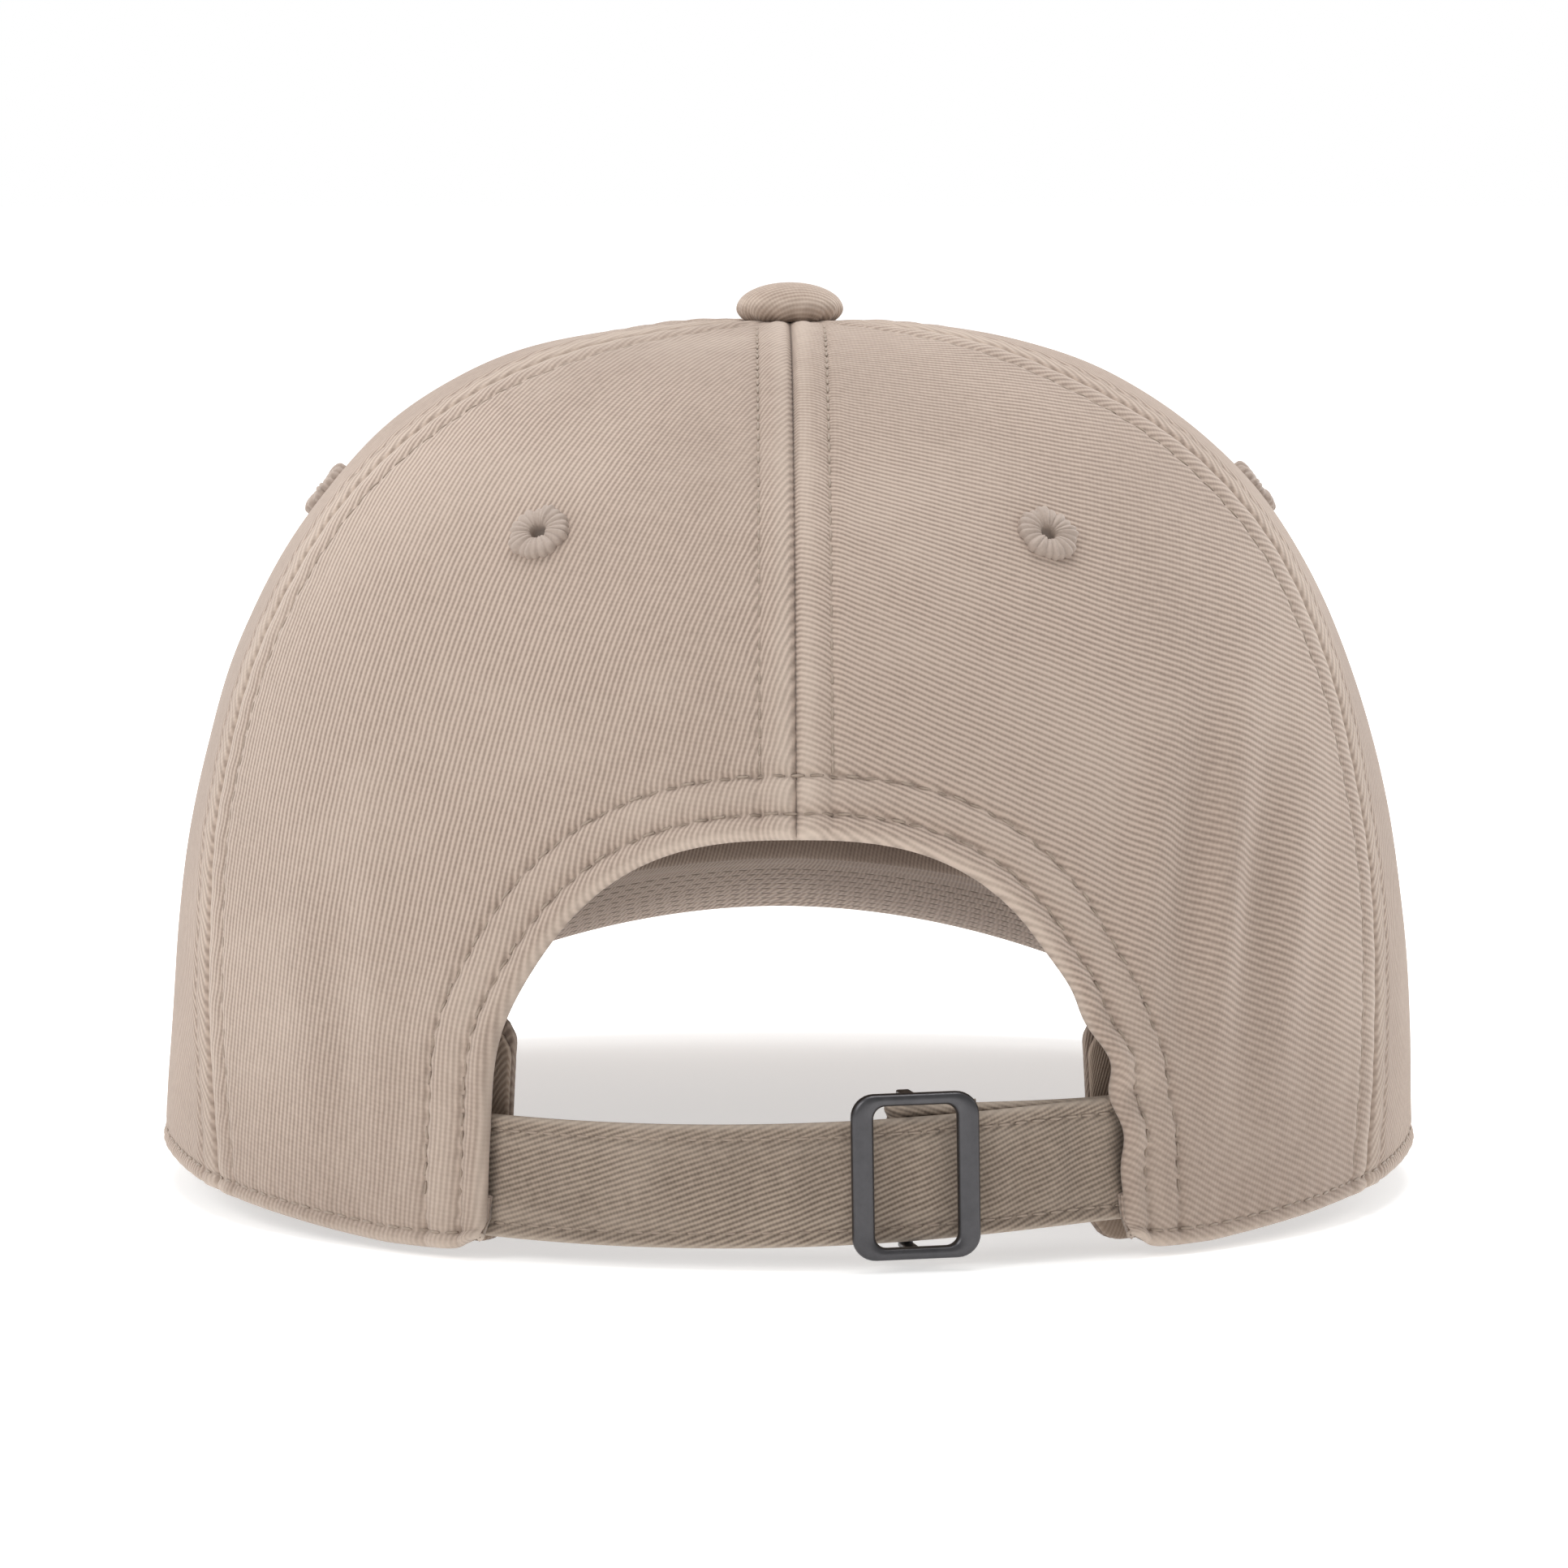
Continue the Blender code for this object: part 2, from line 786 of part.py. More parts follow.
def make_tab(frame):
    """The short tab: looped round the buckle's bar, with its long end in the right pocket."""
    middle_radius = tab_inner + tab_thickness / 2
    bend = middle_radius - bar_radius
    lower_radius = bar_radius - bend
    loop_points = 7
    path = []
    long_points = 22
    for step in range(long_points):
        angle = buckle_place + tab_length / middle_radius * (1 - step / long_points)
        path.append(on_arc(middle_radius, angle, 0))
    centre = on_arc(bar_radius, buckle_place, 0)
    out = on_arc(1, buckle_place, 0)
    along = Vector((-out.y, out.x, 0))
    for step in range(loop_points):
        turn = math.pi * step / (loop_points - 1)
        path.append(centre + (out * math.cos(turn) - along * math.sin(turn)) * bend)
    for step in range(1, 5):
        angle = buckle_place + tab_return / lower_radius * step / 4
        path.append(on_arc(lower_radius, angle, 0))

    def place(u, v):
        point = path[round(u * (len(path) - 1))]
        return point + Vector((0, 0, (v - 0.5) * strap_width))

    mesh = grid_mesh("buckle_tab", len(path) - 1, 1, place)
    made = add_object("buckle_tab", mesh, cloth_shade)
    thicken(made, tab_thickness, 0.0)
    made.parent = frame


def box_mesh(name, low, high):
    mesh = bpy.data.meshes.new(name)
    shape = bmesh.new()
    bmesh.ops.create_cube(shape, size=1.0)
    middle = (Vector(low) + Vector(high)) / 2
    size = Vector(high) - Vector(low)
    for vert in shape.verts:
        vert.co = middle + Vector((vert.co[axis] * size[axis] for axis in range(3)))
    shape.to_mesh(mesh)
    shape.free()
    return mesh


def make_buckle(frame):
    """A slider buckle: a flat frame, with a bar set back on two lugs behind the strap."""
    pivot = bpy.data.objects.new("buckle_pivot", None)
    pivot.location = on_arc(bar_radius, buckle_place, 0)
    pivot.rotation_euler = (0, 0, buckle_place)
    pivot.parent = frame
    cap.objects.link(pivot)

    window_width = buckle_width - 2 * buckle_side
    outer = rounded_rectangle(buckle_width, buckle_height, buckle_corner)
    window = rounded_rectangle(window_width, buckle_window_height, buckle_window_corner, 4)
    mesh = outline_mesh("buckle_frame", [outer, window[::-1]], buckle_thickness)
    plate_out = buckle_inner - bar_radius + buckle_thickness / 2
    stand_up = Matrix.Translation((0, plate_out, 0)) @ Matrix.Rotation(math.pi / 2, 4, "X")
    mesh.transform(stand_up)
    made = add_object("buckle_frame", mesh, metal_colour, 0.35, 1.0)

    lug_inside = buckle_window_height / 2
    lug_outside = buckle_height / 2 - 0.0003
    for name, side in (("upper_lug", 1), ("lower_lug", -1)):
        heights = sorted((side * lug_inside, side * lug_outside))
        low = (-buckle_lug_width / 2, -buckle_bar_radius, heights[0])
        high = (buckle_lug_width / 2, plate_out, heights[1])
        lug = bpy.data.objects.new(name, box_mesh(name, low, high))
        cutters.objects.link(hide_cutter(lug))
        lug.parent = pivot
        combine(made, lug, "UNION")

    bar_mesh = bpy.data.meshes.new("buckle_bar")
    shape = bmesh.new()
    bmesh.ops.create_cone(
        shape,
        cap_ends=True,
        segments=12,
        radius1=buckle_bar_radius * 0.95,
        radius2=buckle_bar_radius * 0.95,
        depth=2 * lug_inside + 0.0012,
    )
    shape.to_mesh(bar_mesh)
    shape.free()
    bar = bpy.data.objects.new("buckle_bar", bar_mesh)
    cutters.objects.link(hide_cutter(bar))
    bar.parent = pivot
    combine(made, bar, "UNION")
    made.parent = pivot


def make_straps():
    frame = make_strap_frame()
    make_long_strap(frame)
    make_tab(frame)
    make_buckle(frame)


def main():
    make_panels()
    make_tapes()
    make_sweatband()
    make_button()
    make_visor()
    make_straps()


for old in list(bpy.data.objects):
    bpy.data.objects.remove(old)
cap = bpy.data.collections.new("baseball_cap")
cutters = bpy.data.collections.new("cutters")
bpy.context.scene.collection.children.link(cap)
bpy.context.scene.collection.children.link(cutters)
main()
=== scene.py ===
import math

import bmesh
import bpy
import numpy as np
from mathutils import Matrix, Vector, noise


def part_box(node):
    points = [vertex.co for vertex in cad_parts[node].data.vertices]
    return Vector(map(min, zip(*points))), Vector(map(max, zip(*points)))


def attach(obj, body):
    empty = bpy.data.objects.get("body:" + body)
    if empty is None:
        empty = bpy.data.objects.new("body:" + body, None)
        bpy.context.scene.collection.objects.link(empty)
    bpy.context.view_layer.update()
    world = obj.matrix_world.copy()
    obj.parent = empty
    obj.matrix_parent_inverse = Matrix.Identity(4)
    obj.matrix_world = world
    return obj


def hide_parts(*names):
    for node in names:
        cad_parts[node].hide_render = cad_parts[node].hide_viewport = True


# A washed cotton baseball cap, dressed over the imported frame.
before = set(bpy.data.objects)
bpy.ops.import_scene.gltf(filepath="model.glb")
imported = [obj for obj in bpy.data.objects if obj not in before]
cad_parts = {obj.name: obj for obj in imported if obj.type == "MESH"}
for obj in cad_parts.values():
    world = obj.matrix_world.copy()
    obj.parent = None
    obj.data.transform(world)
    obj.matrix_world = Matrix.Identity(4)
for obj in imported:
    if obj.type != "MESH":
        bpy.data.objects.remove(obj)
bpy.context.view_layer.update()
mm = 0.001

# Crown shape: half sizes and heights in metres, fullness as (wall, top).
crown = dict(
    halfWidth=0.0873, front=0.098, back=0.097, height=0.1175,
    hemSide=0.0042, hemFront=0.0377, hemDip=0.0018, sharpness=1.5, flattening=0.043,
    fullSide=(2.96, 2.81), fullFront=(2.3, 1.7), fullBack=(2.55, 2.11),
    frontSeam=60.0, rearSeamHem=118.5, rearSeamTop=120.0, rearSeamBow=7.0, rearSeamLean=0.7,
)
buttonLow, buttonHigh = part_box("button_cover")
crownY = (buttonLow.y + buttonHigh.y) / 2


def unit(vectors, least=1e-15):
    return vectors / np.maximum(np.linalg.norm(vectors, axis=-1, keepdims=True), least)


def smoothed(share):
    return share * share * (3 - 2 * share)


def shares(theta):
    front = np.clip(np.cos(theta), 0, 1) ** crown["sharpness"]
    back = np.clip(-np.cos(theta), 0, 1) ** crown["sharpness"]
    return front, back, 1 - front - back


def mixed(theta, atFront, atBack, atSide):
    front, back, side = shares(theta)
    return front * atFront + back * atBack + side * atSide


def hemHeight(theta):
    return np.maximum(mixed(theta, crown["hemFront"], -crown["hemDip"], crown["hemSide"]), 0)


def fullness(theta, which):
    return mixed(theta, crown["fullFront"][which], crown["fullBack"][which], crown["fullSide"][which])


def spreadAt(theta, t):
    flat = crown["flattening"] * (0.5 - 0.5 * np.cos(6 * theta)) * np.sin(np.pi * np.clip(t, 0, 1))
    return np.clip(np.cos(t * np.pi / 2), 0, 1) ** (2 / fullness(theta, 1)) * (1 - flat)


def crownPoint(theta, t):
    theta, t = np.broadcast_arrays(np.asarray(theta, float), np.asarray(t, float))
    spread = spreadAt(theta, t)
    rise = np.clip(np.sin(t * np.pi / 2), 0, 1) ** (2 / fullness(theta, 0))
    hem = hemHeight(theta)
    depth = np.where(np.cos(theta) > 0, crown["front"], crown["back"])
    x = crown["halfWidth"] * np.sin(theta) * spread
    y = crownY - depth * np.cos(theta) * spread
    return np.stack([x, y, hem + (crown["height"] - hem) * rise], -1)


def tAtHeight(theta, height):
    hem = hemHeight(theta)
    rise = np.clip((height - hem) / (crown["height"] - hem), 0, 1)
    return np.arcsin(rise ** (fullness(theta, 0) / 2)) * 2 / np.pi


# Length along each meridian, so that rows and stitches keep real distances from the hem.
meridianCount = 61
stepCount = 401
hemCrowding = 2.2
topCrowding = 1.6
meridians = np.linspace(0, np.pi, meridianCount)[:, None]


def tOfStep(w):
    low = 0.5 * (2 * w) ** hemCrowding
    return np.where(w < 0.5, low, 1 - 0.5 * np.clip(2 * (1 - w), 0, 2) ** topCrowding)


def stepOfT(t):
    low = 0.5 * (2 * np.clip(t, 0, 1)) ** (1 / hemCrowding)
    return np.where(t < 0.5, low, 1 - 0.5 * (2 * np.clip(1 - t, 0, 1)) ** (1 / topCrowding))


stepLine = np.linspace(0, 1, stepCount)
walk = crownPoint(meridians, tOfStep(stepLine)[None, :])
pieceLengths = np.linalg.norm(np.diff(walk, axis=1), axis=-1)
lengthTable = np.concatenate([np.zeros((meridianCount, 1)), np.cumsum(pieceLengths, 1)], 1)
totalTable = lengthTable[:, -1]
shareTable = lengthTable / totalTable[:, None]
inverseTable = np.array([np.interp(stepLine, row, tOfStep(stepLine)) for row in shareTable])


def foldedAngle(theta):
    # The angle from the centre front, the same on both sides of the cap.
    return np.abs((theta + np.pi) % (2 * np.pi) - np.pi)


def lookUp(table, theta, column):
    row = np.clip(foldedAngle(theta) / np.pi * (meridianCount - 1), 0, meridianCount - 1.0001)
    col = np.clip(column, 0, 1) * (stepCount - 1.0001)
    r0, c0 = row.astype(int), col.astype(int)
    fr, fc = row - r0, col - c0
    top = table[r0, c0] * (1 - fc) + table[r0, c0 + 1] * fc
    low = table[r0 + 1, c0] * (1 - fc) + table[r0 + 1, c0 + 1] * fc
    return top * (1 - fr) + low * fr


def meridianLength(theta):
    return np.interp(foldedAngle(theta), meridians[:, 0], totalTable)


def tOfShare(theta, share):
    return lookUp(inverseTable, *np.broadcast_arrays(theta, np.asarray(share, float)))


def shareOfT(theta, t):
    return lookUp(shareTable, *np.broadcast_arrays(theta, stepOfT(np.asarray(t, float))))


def crownAt(theta, share):
    theta = np.asarray(theta, float)
    return crownPoint(theta, tOfShare(theta, share))


def crownNormal(theta, share):
    t = tOfShare(np.asarray(theta, float), np.clip(share, 0.002, 0.996))
    step = 1e-4
    along = crownPoint(theta, t + step) - crownPoint(theta, t - step)
    across = crownPoint(theta + step, t) - crownPoint(theta - step, t)
    return unit(np.cross(across, along))


def radiusOf(points):
    return np.hypot(points[..., 0], points[..., 1] - crownY)


def rearSeamAngle(t):
    degrees = crown["rearSeamHem"] + (crown["rearSeamTop"] - crown["rearSeamHem"]) * t
    bow = crown["rearSeamBow"] * np.sin(np.pi * np.clip(t, 0, 1) ** crown["rearSeamLean"])
    return np.radians(degrees - bow)


def seamTheta(which, side, share):
    # Seams are counted from the front: centre front, front side, rear side, centre back.
    share = np.asarray(share, float)
    if which != 2:
        return np.full(share.shape, side * math.radians((0, crown["frontSeam"], 0, 180)[which]))
    theta = np.full(share.shape, side * math.radians(crown["rearSeamHem"]))
    for _ in range(4):
        theta = side * rearSeamAngle(tOfShare(theta, share))
    return theta


# Rear opening: an arch that rises from the hem.
opening = dict(halfWidth=0.0403, height=0.054, fullness=2.6)


def archPoint(share, outward=0.0):
    turn = np.pi * np.asarray(share, float)
    power = 2 / opening["fullness"]
    x = np.sign(np.cos(turn)) * np.abs(np.cos(turn)) ** power
    z = np.clip(np.sin(turn), 0, 1) ** power
    across = np.sign(x) * np.abs(x) ** (opening["fullness"] - 1) / opening["halfWidth"]
    up = z ** (opening["fullness"] - 1) / opening["height"]
    size = np.hypot(across, up)
    return opening["halfWidth"] * x + outward * across / size, opening["height"] * z + outward * up / size


def archDistance(points):
    # Distance outside the arch's edge, seen from straight behind.
    n = opening["fullness"]
    x = np.abs(points[..., 0]) / opening["halfWidth"]
    z = np.clip(points[..., 2], 0, 1) / opening["height"]
    level = np.maximum((x**n + z**n) ** (1 / n), 1e-6)
    slopeX = level ** (1 - n) * x ** (n - 1) / opening["halfWidth"]
    slopeZ = level ** (1 - n) * z ** (n - 1) / opening["height"]
    away = (level - 1) / np.maximum(np.hypot(slopeX, slopeZ), 1e-6)
    return np.where(points[..., 1] > crownY, away, 1.0)


def backAngles(x, z):
    # Crown angle and meridian share of the rear face at a place seen from behind.
    x, z = np.broadcast_arrays(np.asarray(x, float), np.asarray(z, float))
    theta = np.pi - np.arcsin(np.clip(x / crown["halfWidth"], -1, 1))
    for _ in range(16):
        t = tAtHeight(theta, z)
        theta = np.pi - np.arcsin(np.clip(x / (crown["halfWidth"] * spreadAt(theta, t)), -1, 1))
    return theta, shareOfT(theta, t)


# Relief of the sewn cloth, in millimetres. A swell is (height, place, width).
seam = dict(
    groove=0.75, grooveWidth=0.50, ridge=0.40, ridgeAt=2.7, ridgeWidth=1.9,
    outer=0.14, outerAt=6.9, outerWidth=1.2,
    stitchFrom=5.2, stitchDent=0.24, rowWidth=0.5, dentPitch=2.4, dentPull=0.3,
    pucker=(0.09, 4.6, 4.0), puckerPitch=5.1, puckerDrift=1.7, driftLength=9.0,
    narrowBelow=12.0, narrowest=0.25, fadeFrom=4.0, fadeOver=6.0,
)
lip = dict(
    firstRow=3.2, secondRow=7.9, dent=0.48, dentPull=0.5, meanRadius=42.0, reach=60.0,
    swells=((0.62, 1.3, 1.15), (0.30, 5.6, 1.6), (0.1, 9.6, 1.3)),
    turnIn=1.3, foot=28.0, turnReach=5.0,
    wave=0.75, waveFrom=12.0, wavePitch=10.5, waveAt=22.0, waveHeight=11.0, waveReach=6.5, waveIn=0.7,
    corner=1.7, cornerSize=2.6, cornerAside=0.55,
    openRight=2.9, openFrom=42.0, openOver=24.0, openLeft=1.3, leftAt=28.0, leftHeight=9.0,
    openReach=14.0, pullAside=0.9, pullIn=0.44, clearOfMiddle=20.0,
)
hem = dict(
    row=2.2, dent=0.30, swell=(0.34, 1.0, 1.0), ripple=(0.08, 2.4, 3.2), ripplePitch=5.3,
    foldRadius=0.9 * mm,
)
# Soft upright folds beside the opening, deep on the right and faint on the left.
folds = (
    dict(size=1.35, x=-57.0, z=44.0, width=12.0, height=20.0, lean=0.14, pitch=10.5),
    dict(size=0.25, x=58.0, z=30.0, width=13.0, height=22.0, lean=-0.05, pitch=10.0),
)
washing = dict(slow=(0.8, 22.0), quick=(0.3, 60.0), shift=(3.1, 1.7, 0.9))


def bump(distance, centre, width):
    return np.exp(-(((distance - centre) / width) ** 2))


def swell(distance, height, centre, width):
    return height * bump(distance, centre, width)


def nearestSeam(theta, share, radius):
    # Distance to the nearest of the six seams, in millimetres.
    angle = foldedAngle(theta)
    t = tOfShare(angle, share)
    lines = [0 * t, 0 * t + math.radians(crown["frontSeam"]), rearSeamAngle(t), 0 * t + np.pi]
    gaps = np.min([np.abs(angle - line) for line in lines], axis=0)
    return gaps * radius / mm


def narrowing(radius):
    # Seam rows draw together near the top button.
    return np.clip(radius / mm / seam["narrowBelow"], seam["narrowest"], 1)


def foldRelief(points):
    x = points[..., 0] / mm
    z = points[..., 2] / mm
    height = 0 * x
    for fold in folds:
        window = bump(x, fold["x"], fold["width"]) * bump(z, fold["z"], fold["height"])
        height = height + fold["size"] * window * np.sin((x + fold["lean"] * z) / fold["pitch"] * 2 * np.pi)
    return np.where(points[..., 1] > crownY, height, 0.0)


def clothRelief(theta, share, points):
    radius = radiusOf(points)
    d = nearestSeam(theta, share, radius)
    s = share * meridianLength(theta) / mm
    narrow = narrowing(radius)
    fade = np.clip((radius / mm - seam["fadeFrom"]) / seam["fadeOver"], 0, 1)
    height = swell(d, -seam["groove"], 0, seam["grooveWidth"])
    height = height + swell(d, seam["ridge"], seam["ridgeAt"] * narrow, seam["ridgeWidth"] * narrow)
    pull = 1 + seam["dentPull"] * np.cos(2 * np.pi * s / seam["dentPitch"])
    height = height - swell(d, seam["stitchDent"], seam["stitchFrom"] * narrow, seam["rowWidth"]) * pull
    height = height + swell(d, seam["outer"], seam["outerAt"] * narrow, seam["outerWidth"])
    drift = seam["puckerDrift"] * np.sin(s / seam["driftLength"])
    wave = np.cos(2 * np.pi * s / seam["puckerPitch"] + drift)
    height = (height + wave * swell(d, *seam["pucker"])) * fade
    near = np.clip(archDistance(points) / mm, -1, lip["reach"])
    around = np.arctan2(points[..., 2], points[..., 0]) * lip["meanRadius"]
    pull = 1 + lip["dentPull"] * np.cos(2 * np.pi * around / seam["dentPitch"])
    for each in lip["swells"]:
        height = height + swell(near, *each)
    for row in (lip["firstRow"], lip["secondRow"]):
        height = height - swell(near, lip["dent"], row, seam["rowWidth"]) * pull
    ripple = np.cos(2 * np.pi * theta * radius / mm / hem["ripplePitch"])
    height = height + swell(s, *hem["swell"]) - swell(s, hem["dent"], hem["row"], seam["rowWidth"])
    return height + ripple * swell(s, *hem["ripple"]) + foldRelief(points)


def clothNoise(points):
    # Unevenness of washed cloth, in millimetres: one field, so neighbouring pieces meet.
    shift = Vector(washing["shift"])
    slow, slowScale = washing["slow"]
    quick, quickScale = washing["quick"]
    values = []
    for spot in points.reshape(-1, 3).tolist():
        p = Vector(spot)
        values.append(slow * noise.noise(p * slowScale + shift) + quick * noise.noise(p * quickScale + shift))
    return np.array(values).reshape(points.shape[:-1])


def linear(hexColour):
    parts = [int(hexColour[i:i + 2], 16) / 255 for i in (1, 3, 5)]
    return [c / 12.92 if c <= 0.04045 else ((c + 0.055) / 1.055) ** 2.4 for c in parts] + [1.0]


def addNode(tree, kind, settings=None, inputs=None, links=None):
    node = tree.nodes.new(kind)
    for key, value in (settings or {}).items():
        setattr(node, key, value)
    for key, value in (inputs or {}).items():
        node.inputs[key].default_value = value
    for key, source in (links or {}).items():
        tree.links.new(source, node.inputs[key])
    return node


def newMaterial(name, roughness, metallic=0.0):
    made = bpy.data.materials.new(name)
    made.use_nodes = True
    shader = made.node_tree.nodes["Principled BSDF"]
    shader.inputs["Roughness"].default_value = roughness
    shader.inputs["Metallic"].default_value = metallic
    return made, made.node_tree, shader


def wavesPerMetre(pitch):
    return 2 * math.pi / 20 / pitch


def cottonTwill(name, groundHex, ridgeHex, wornHex, pitch=0.85, depth=0.00022):
    # Washed cotton twill: fine slanting ribs, a matt face, and paler rubbed edges, on the strap partly a
    # painted highlight.
    made, tree, shader = newMaterial(name, 0.92)
    shader.inputs["Sheen Weight"].default_value = 0.12
    shader.inputs["Sheen Roughness"].default_value = 0.6
    shader.inputs["Specular IOR Level"].default_value = 0.25
    uv = addNode(tree, "ShaderNodeUVMap", {"uv_map": "cloth"})
    rib = addNode(
        tree, "ShaderNodeTexWave", {"bands_direction": "X"},
        {"Scale": wavesPerMetre(pitch * mm), "Distortion": 1.4, "Detail": 2.0, "Detail Scale": 0.35},
        {"Vector": uv.outputs["UV"]},
    )
    filling = addNode(
        tree, "ShaderNodeTexWave", {"bands_direction": "Y"},
        {"Scale": wavesPerMetre(pitch * 0.7 * mm), "Distortion": 2.0, "Detail": 2.0, "Detail Scale": 0.6},
        {"Vector": uv.outputs["UV"]},
    )
    place = addNode(tree, "ShaderNodeTexCoord")
    patches = addNode(
        tree, "ShaderNodeTexNoise", {}, {"Scale": 15.0, "Detail": 2.0}, {"Vector": place.outputs["Object"]},
    )
    slub = addNode(
        tree, "ShaderNodeTexNoise", {}, {"Scale": 900.0, "Detail": 3.0, "Roughness": 0.7},
        {"Vector": place.outputs["Object"]},
    )
    cloud = addNode(
        tree, "ShaderNodeTexNoise", {}, {"Scale": 34.0, "Detail": 4.0, "Roughness": 0.6},
        {"Vector": place.outputs["Object"]},
    )
    clarity = addNode(
        tree, "ShaderNodeMapRange", {},
        {"From Min": 0.38, "From Max": 0.62, "To Min": 0.42, "To Max": 0.95},
        {"Value": patches.outputs["Fac"]},
    )
    broken = addNode(
        tree, "ShaderNodeMath", {"operation": "MULTIPLY_ADD"}, {1: 0.12},
        {0: filling.outputs["Fac"]},
    )
    ribShare = addNode(
        tree, "ShaderNodeMath", {"operation": "MULTIPLY"}, {},
        {0: rib.outputs["Fac"], 1: clarity.outputs["Result"]},
    )
    tree.links.new(ribShare.outputs[0], broken.inputs[2])
    uneven = addNode(
        tree, "ShaderNodeMath", {"operation": "MULTIPLY_ADD"}, {1: 0.55},
        {0: slub.outputs["Fac"], 2: broken.outputs[0]},
    )
    tone = addNode(
        tree, "ShaderNodeMapRange", {}, {"From Min": 0.22, "From Max": 1.15}, {"Value": uneven.outputs[0]},
    )
    colour = addNode(
        tree, "ShaderNodeMix", {"data_type": "RGBA"}, {6: linear(groundHex), 7: linear(ridgeHex)},
        {0: tone.outputs["Result"]},
    )
    wear = addNode(tree, "ShaderNodeAttribute", {"attribute_name": "wear"})
    patchy = addNode(
        tree, "ShaderNodeMapRange", {},
        {"From Min": 0.35, "From Max": 0.65, "To Min": -0.12, "To Max": 0.16},
        {"Value": cloud.outputs["Fac"]},
    )
    rubbed = addNode(
        tree, "ShaderNodeMath", {"operation": "ADD", "use_clamp": True}, {},
        {0: patchy.outputs["Result"], 1: wear.outputs["Fac"]},
    )
    worn = addNode(
        tree, "ShaderNodeMix", {"data_type": "RGBA"}, {7: linear(wornHex)},
        {0: rubbed.outputs[0], 6: colour.outputs[2]},
    )
    tree.links.new(worn.outputs[2], shader.inputs["Base Color"])
    relief = addNode(
        tree, "ShaderNodeBump", {}, {"Strength": 0.55, "Distance": depth}, {"Height": uneven.outputs[0]},
    )
    tree.links.new(relief.outputs["Normal"], shader.inputs["Normal"])
    return made


def sewingThread(name, hexColour):
    # Spun polyester thread: a slight gloss and the twist of its plies.
    made, tree, shader = newMaterial(name, 0.62)
    shader.inputs["Sheen Weight"].default_value = 0.1
    place = addNode(tree, "ShaderNodeTexCoord")
    plies = addNode(
        tree, "ShaderNodeTexNoise", {}, {"Scale": 2600.0, "Detail": 2.0},
        {"Vector": place.outputs["Object"]},
    )
    dark = [c * 0.78 for c in linear(hexColour)[:3]] + [1.0]
    colour = addNode(
        tree, "ShaderNodeMix", {"data_type": "RGBA"}, {6: dark, 7: linear(hexColour)},
        {0: plies.outputs["Fac"]},
    )
    tree.links.new(colour.outputs[2], shader.inputs["Base Color"])
    relief = addNode(
        tree, "ShaderNodeBump", {}, {"Strength": 0.4, "Distance": 0.00008},
        {"Height": plies.outputs["Fac"]},
    )
    tree.links.new(relief.outputs["Normal"], shader.inputs["Normal"])
    return made


def gunmetal(name):
    # Die-cast zinc with a dark satin plating that rubs a little brighter in patches.
    made, tree, shader = newMaterial(name, 0.34, 1.0)
    place = addNode(tree, "ShaderNodeTexCoord")
    haze = addNode(
        tree, "ShaderNodeTexNoise", {}, {"Scale": 420.0, "Detail": 5.0, "Roughness": 0.65},
        {"Vector": place.outputs["Object"]},
    )
    colour = addNode(
        tree, "ShaderNodeMix", {"data_type": "RGBA"}, {6: linear("#454446"), 7: linear("#5f5e60")},
        {0: haze.outputs["Fac"]},
    )
    gloss = addNode(
        tree, "ShaderNodeMapRange", {}, {"To Min": 0.26, "To Max": 0.46}, {"Value": haze.outputs["Fac"]},
    )
    tree.links.new(colour.outputs[2], shader.inputs["Base Color"])
    tree.links.new(gloss.outputs["Result"], shader.inputs["Roughness"])
    relief = addNode(
        tree, "ShaderNodeBump", {}, {"Strength": 0.15, "Distance": 0.00003},
        {"Height": haze.outputs["Fac"]},
    )
    tree.links.new(relief.outputs["Normal"], shader.inputs["Normal"])
    return made


def plainSheet(name, darkHex, lightHex, roughness, metallic=0.0):
    # Pressed or extruded sheet: even colour with a faint grain.
    made, tree, shader = newMaterial(name, roughness, metallic)
    place = addNode(tree, "ShaderNodeTexCoord")
    grain = addNode(
        tree, "ShaderNodeTexNoise", {}, {"Scale": 700.0, "Detail": 4.0},
        {"Vector": place.outputs["Object"]},
    )
    colour = addNode(
        tree, "ShaderNodeMix", {"data_type": "RGBA"}, {6: linear(darkHex), 7: linear(lightHex)},
        {0: grain.outputs["Fac"]},
    )
    tree.links.new(colour.outputs[2], shader.inputs["Base Color"])
    return made


cloth = dict(
    panel=cottonTwill("washed_twill", "#88776b", "#b9a698", "#c7b7a9"),
    # darker copy of the panel twill: painted shade for the visor's underside and the sweatband
    paintedShade=cottonTwill("twill_painted_shade", "#7d6d63", "#ac9a8c", "#b8a89c"),
    strap=cottonTwill("strap_twill", "#62554a", "#ad9c8c", "#bfb0a1", 0.68),
    tape=cottonTwill("binding_tape", "#8a786a", "#b09d8d", "#bdac9d", 0.6, 0.00015),
    thread=sewingThread("matching_thread", "#a08f80"),
    # darker copy of the thread: painted shadow in the stitches under the visor
    paintedShadowThread=sewingThread("thread_painted_shadow", "#7b6b5e"),
)


def finish(made, body, nodes, material):
    made.data.materials.clear()
    made.data.materials.append(material)
    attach(made, body)
    if nodes:
        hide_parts(*nodes)
    return made


def toObject(name, shape):
    mesh = bpy.data.meshes.new(name)
    shape.to_mesh(mesh)
    shape.free()
    made = bpy.data.objects.new(name, mesh)
    bpy.context.scene.collection.objects.link(made)
    mesh.shade_smooth()
    return made


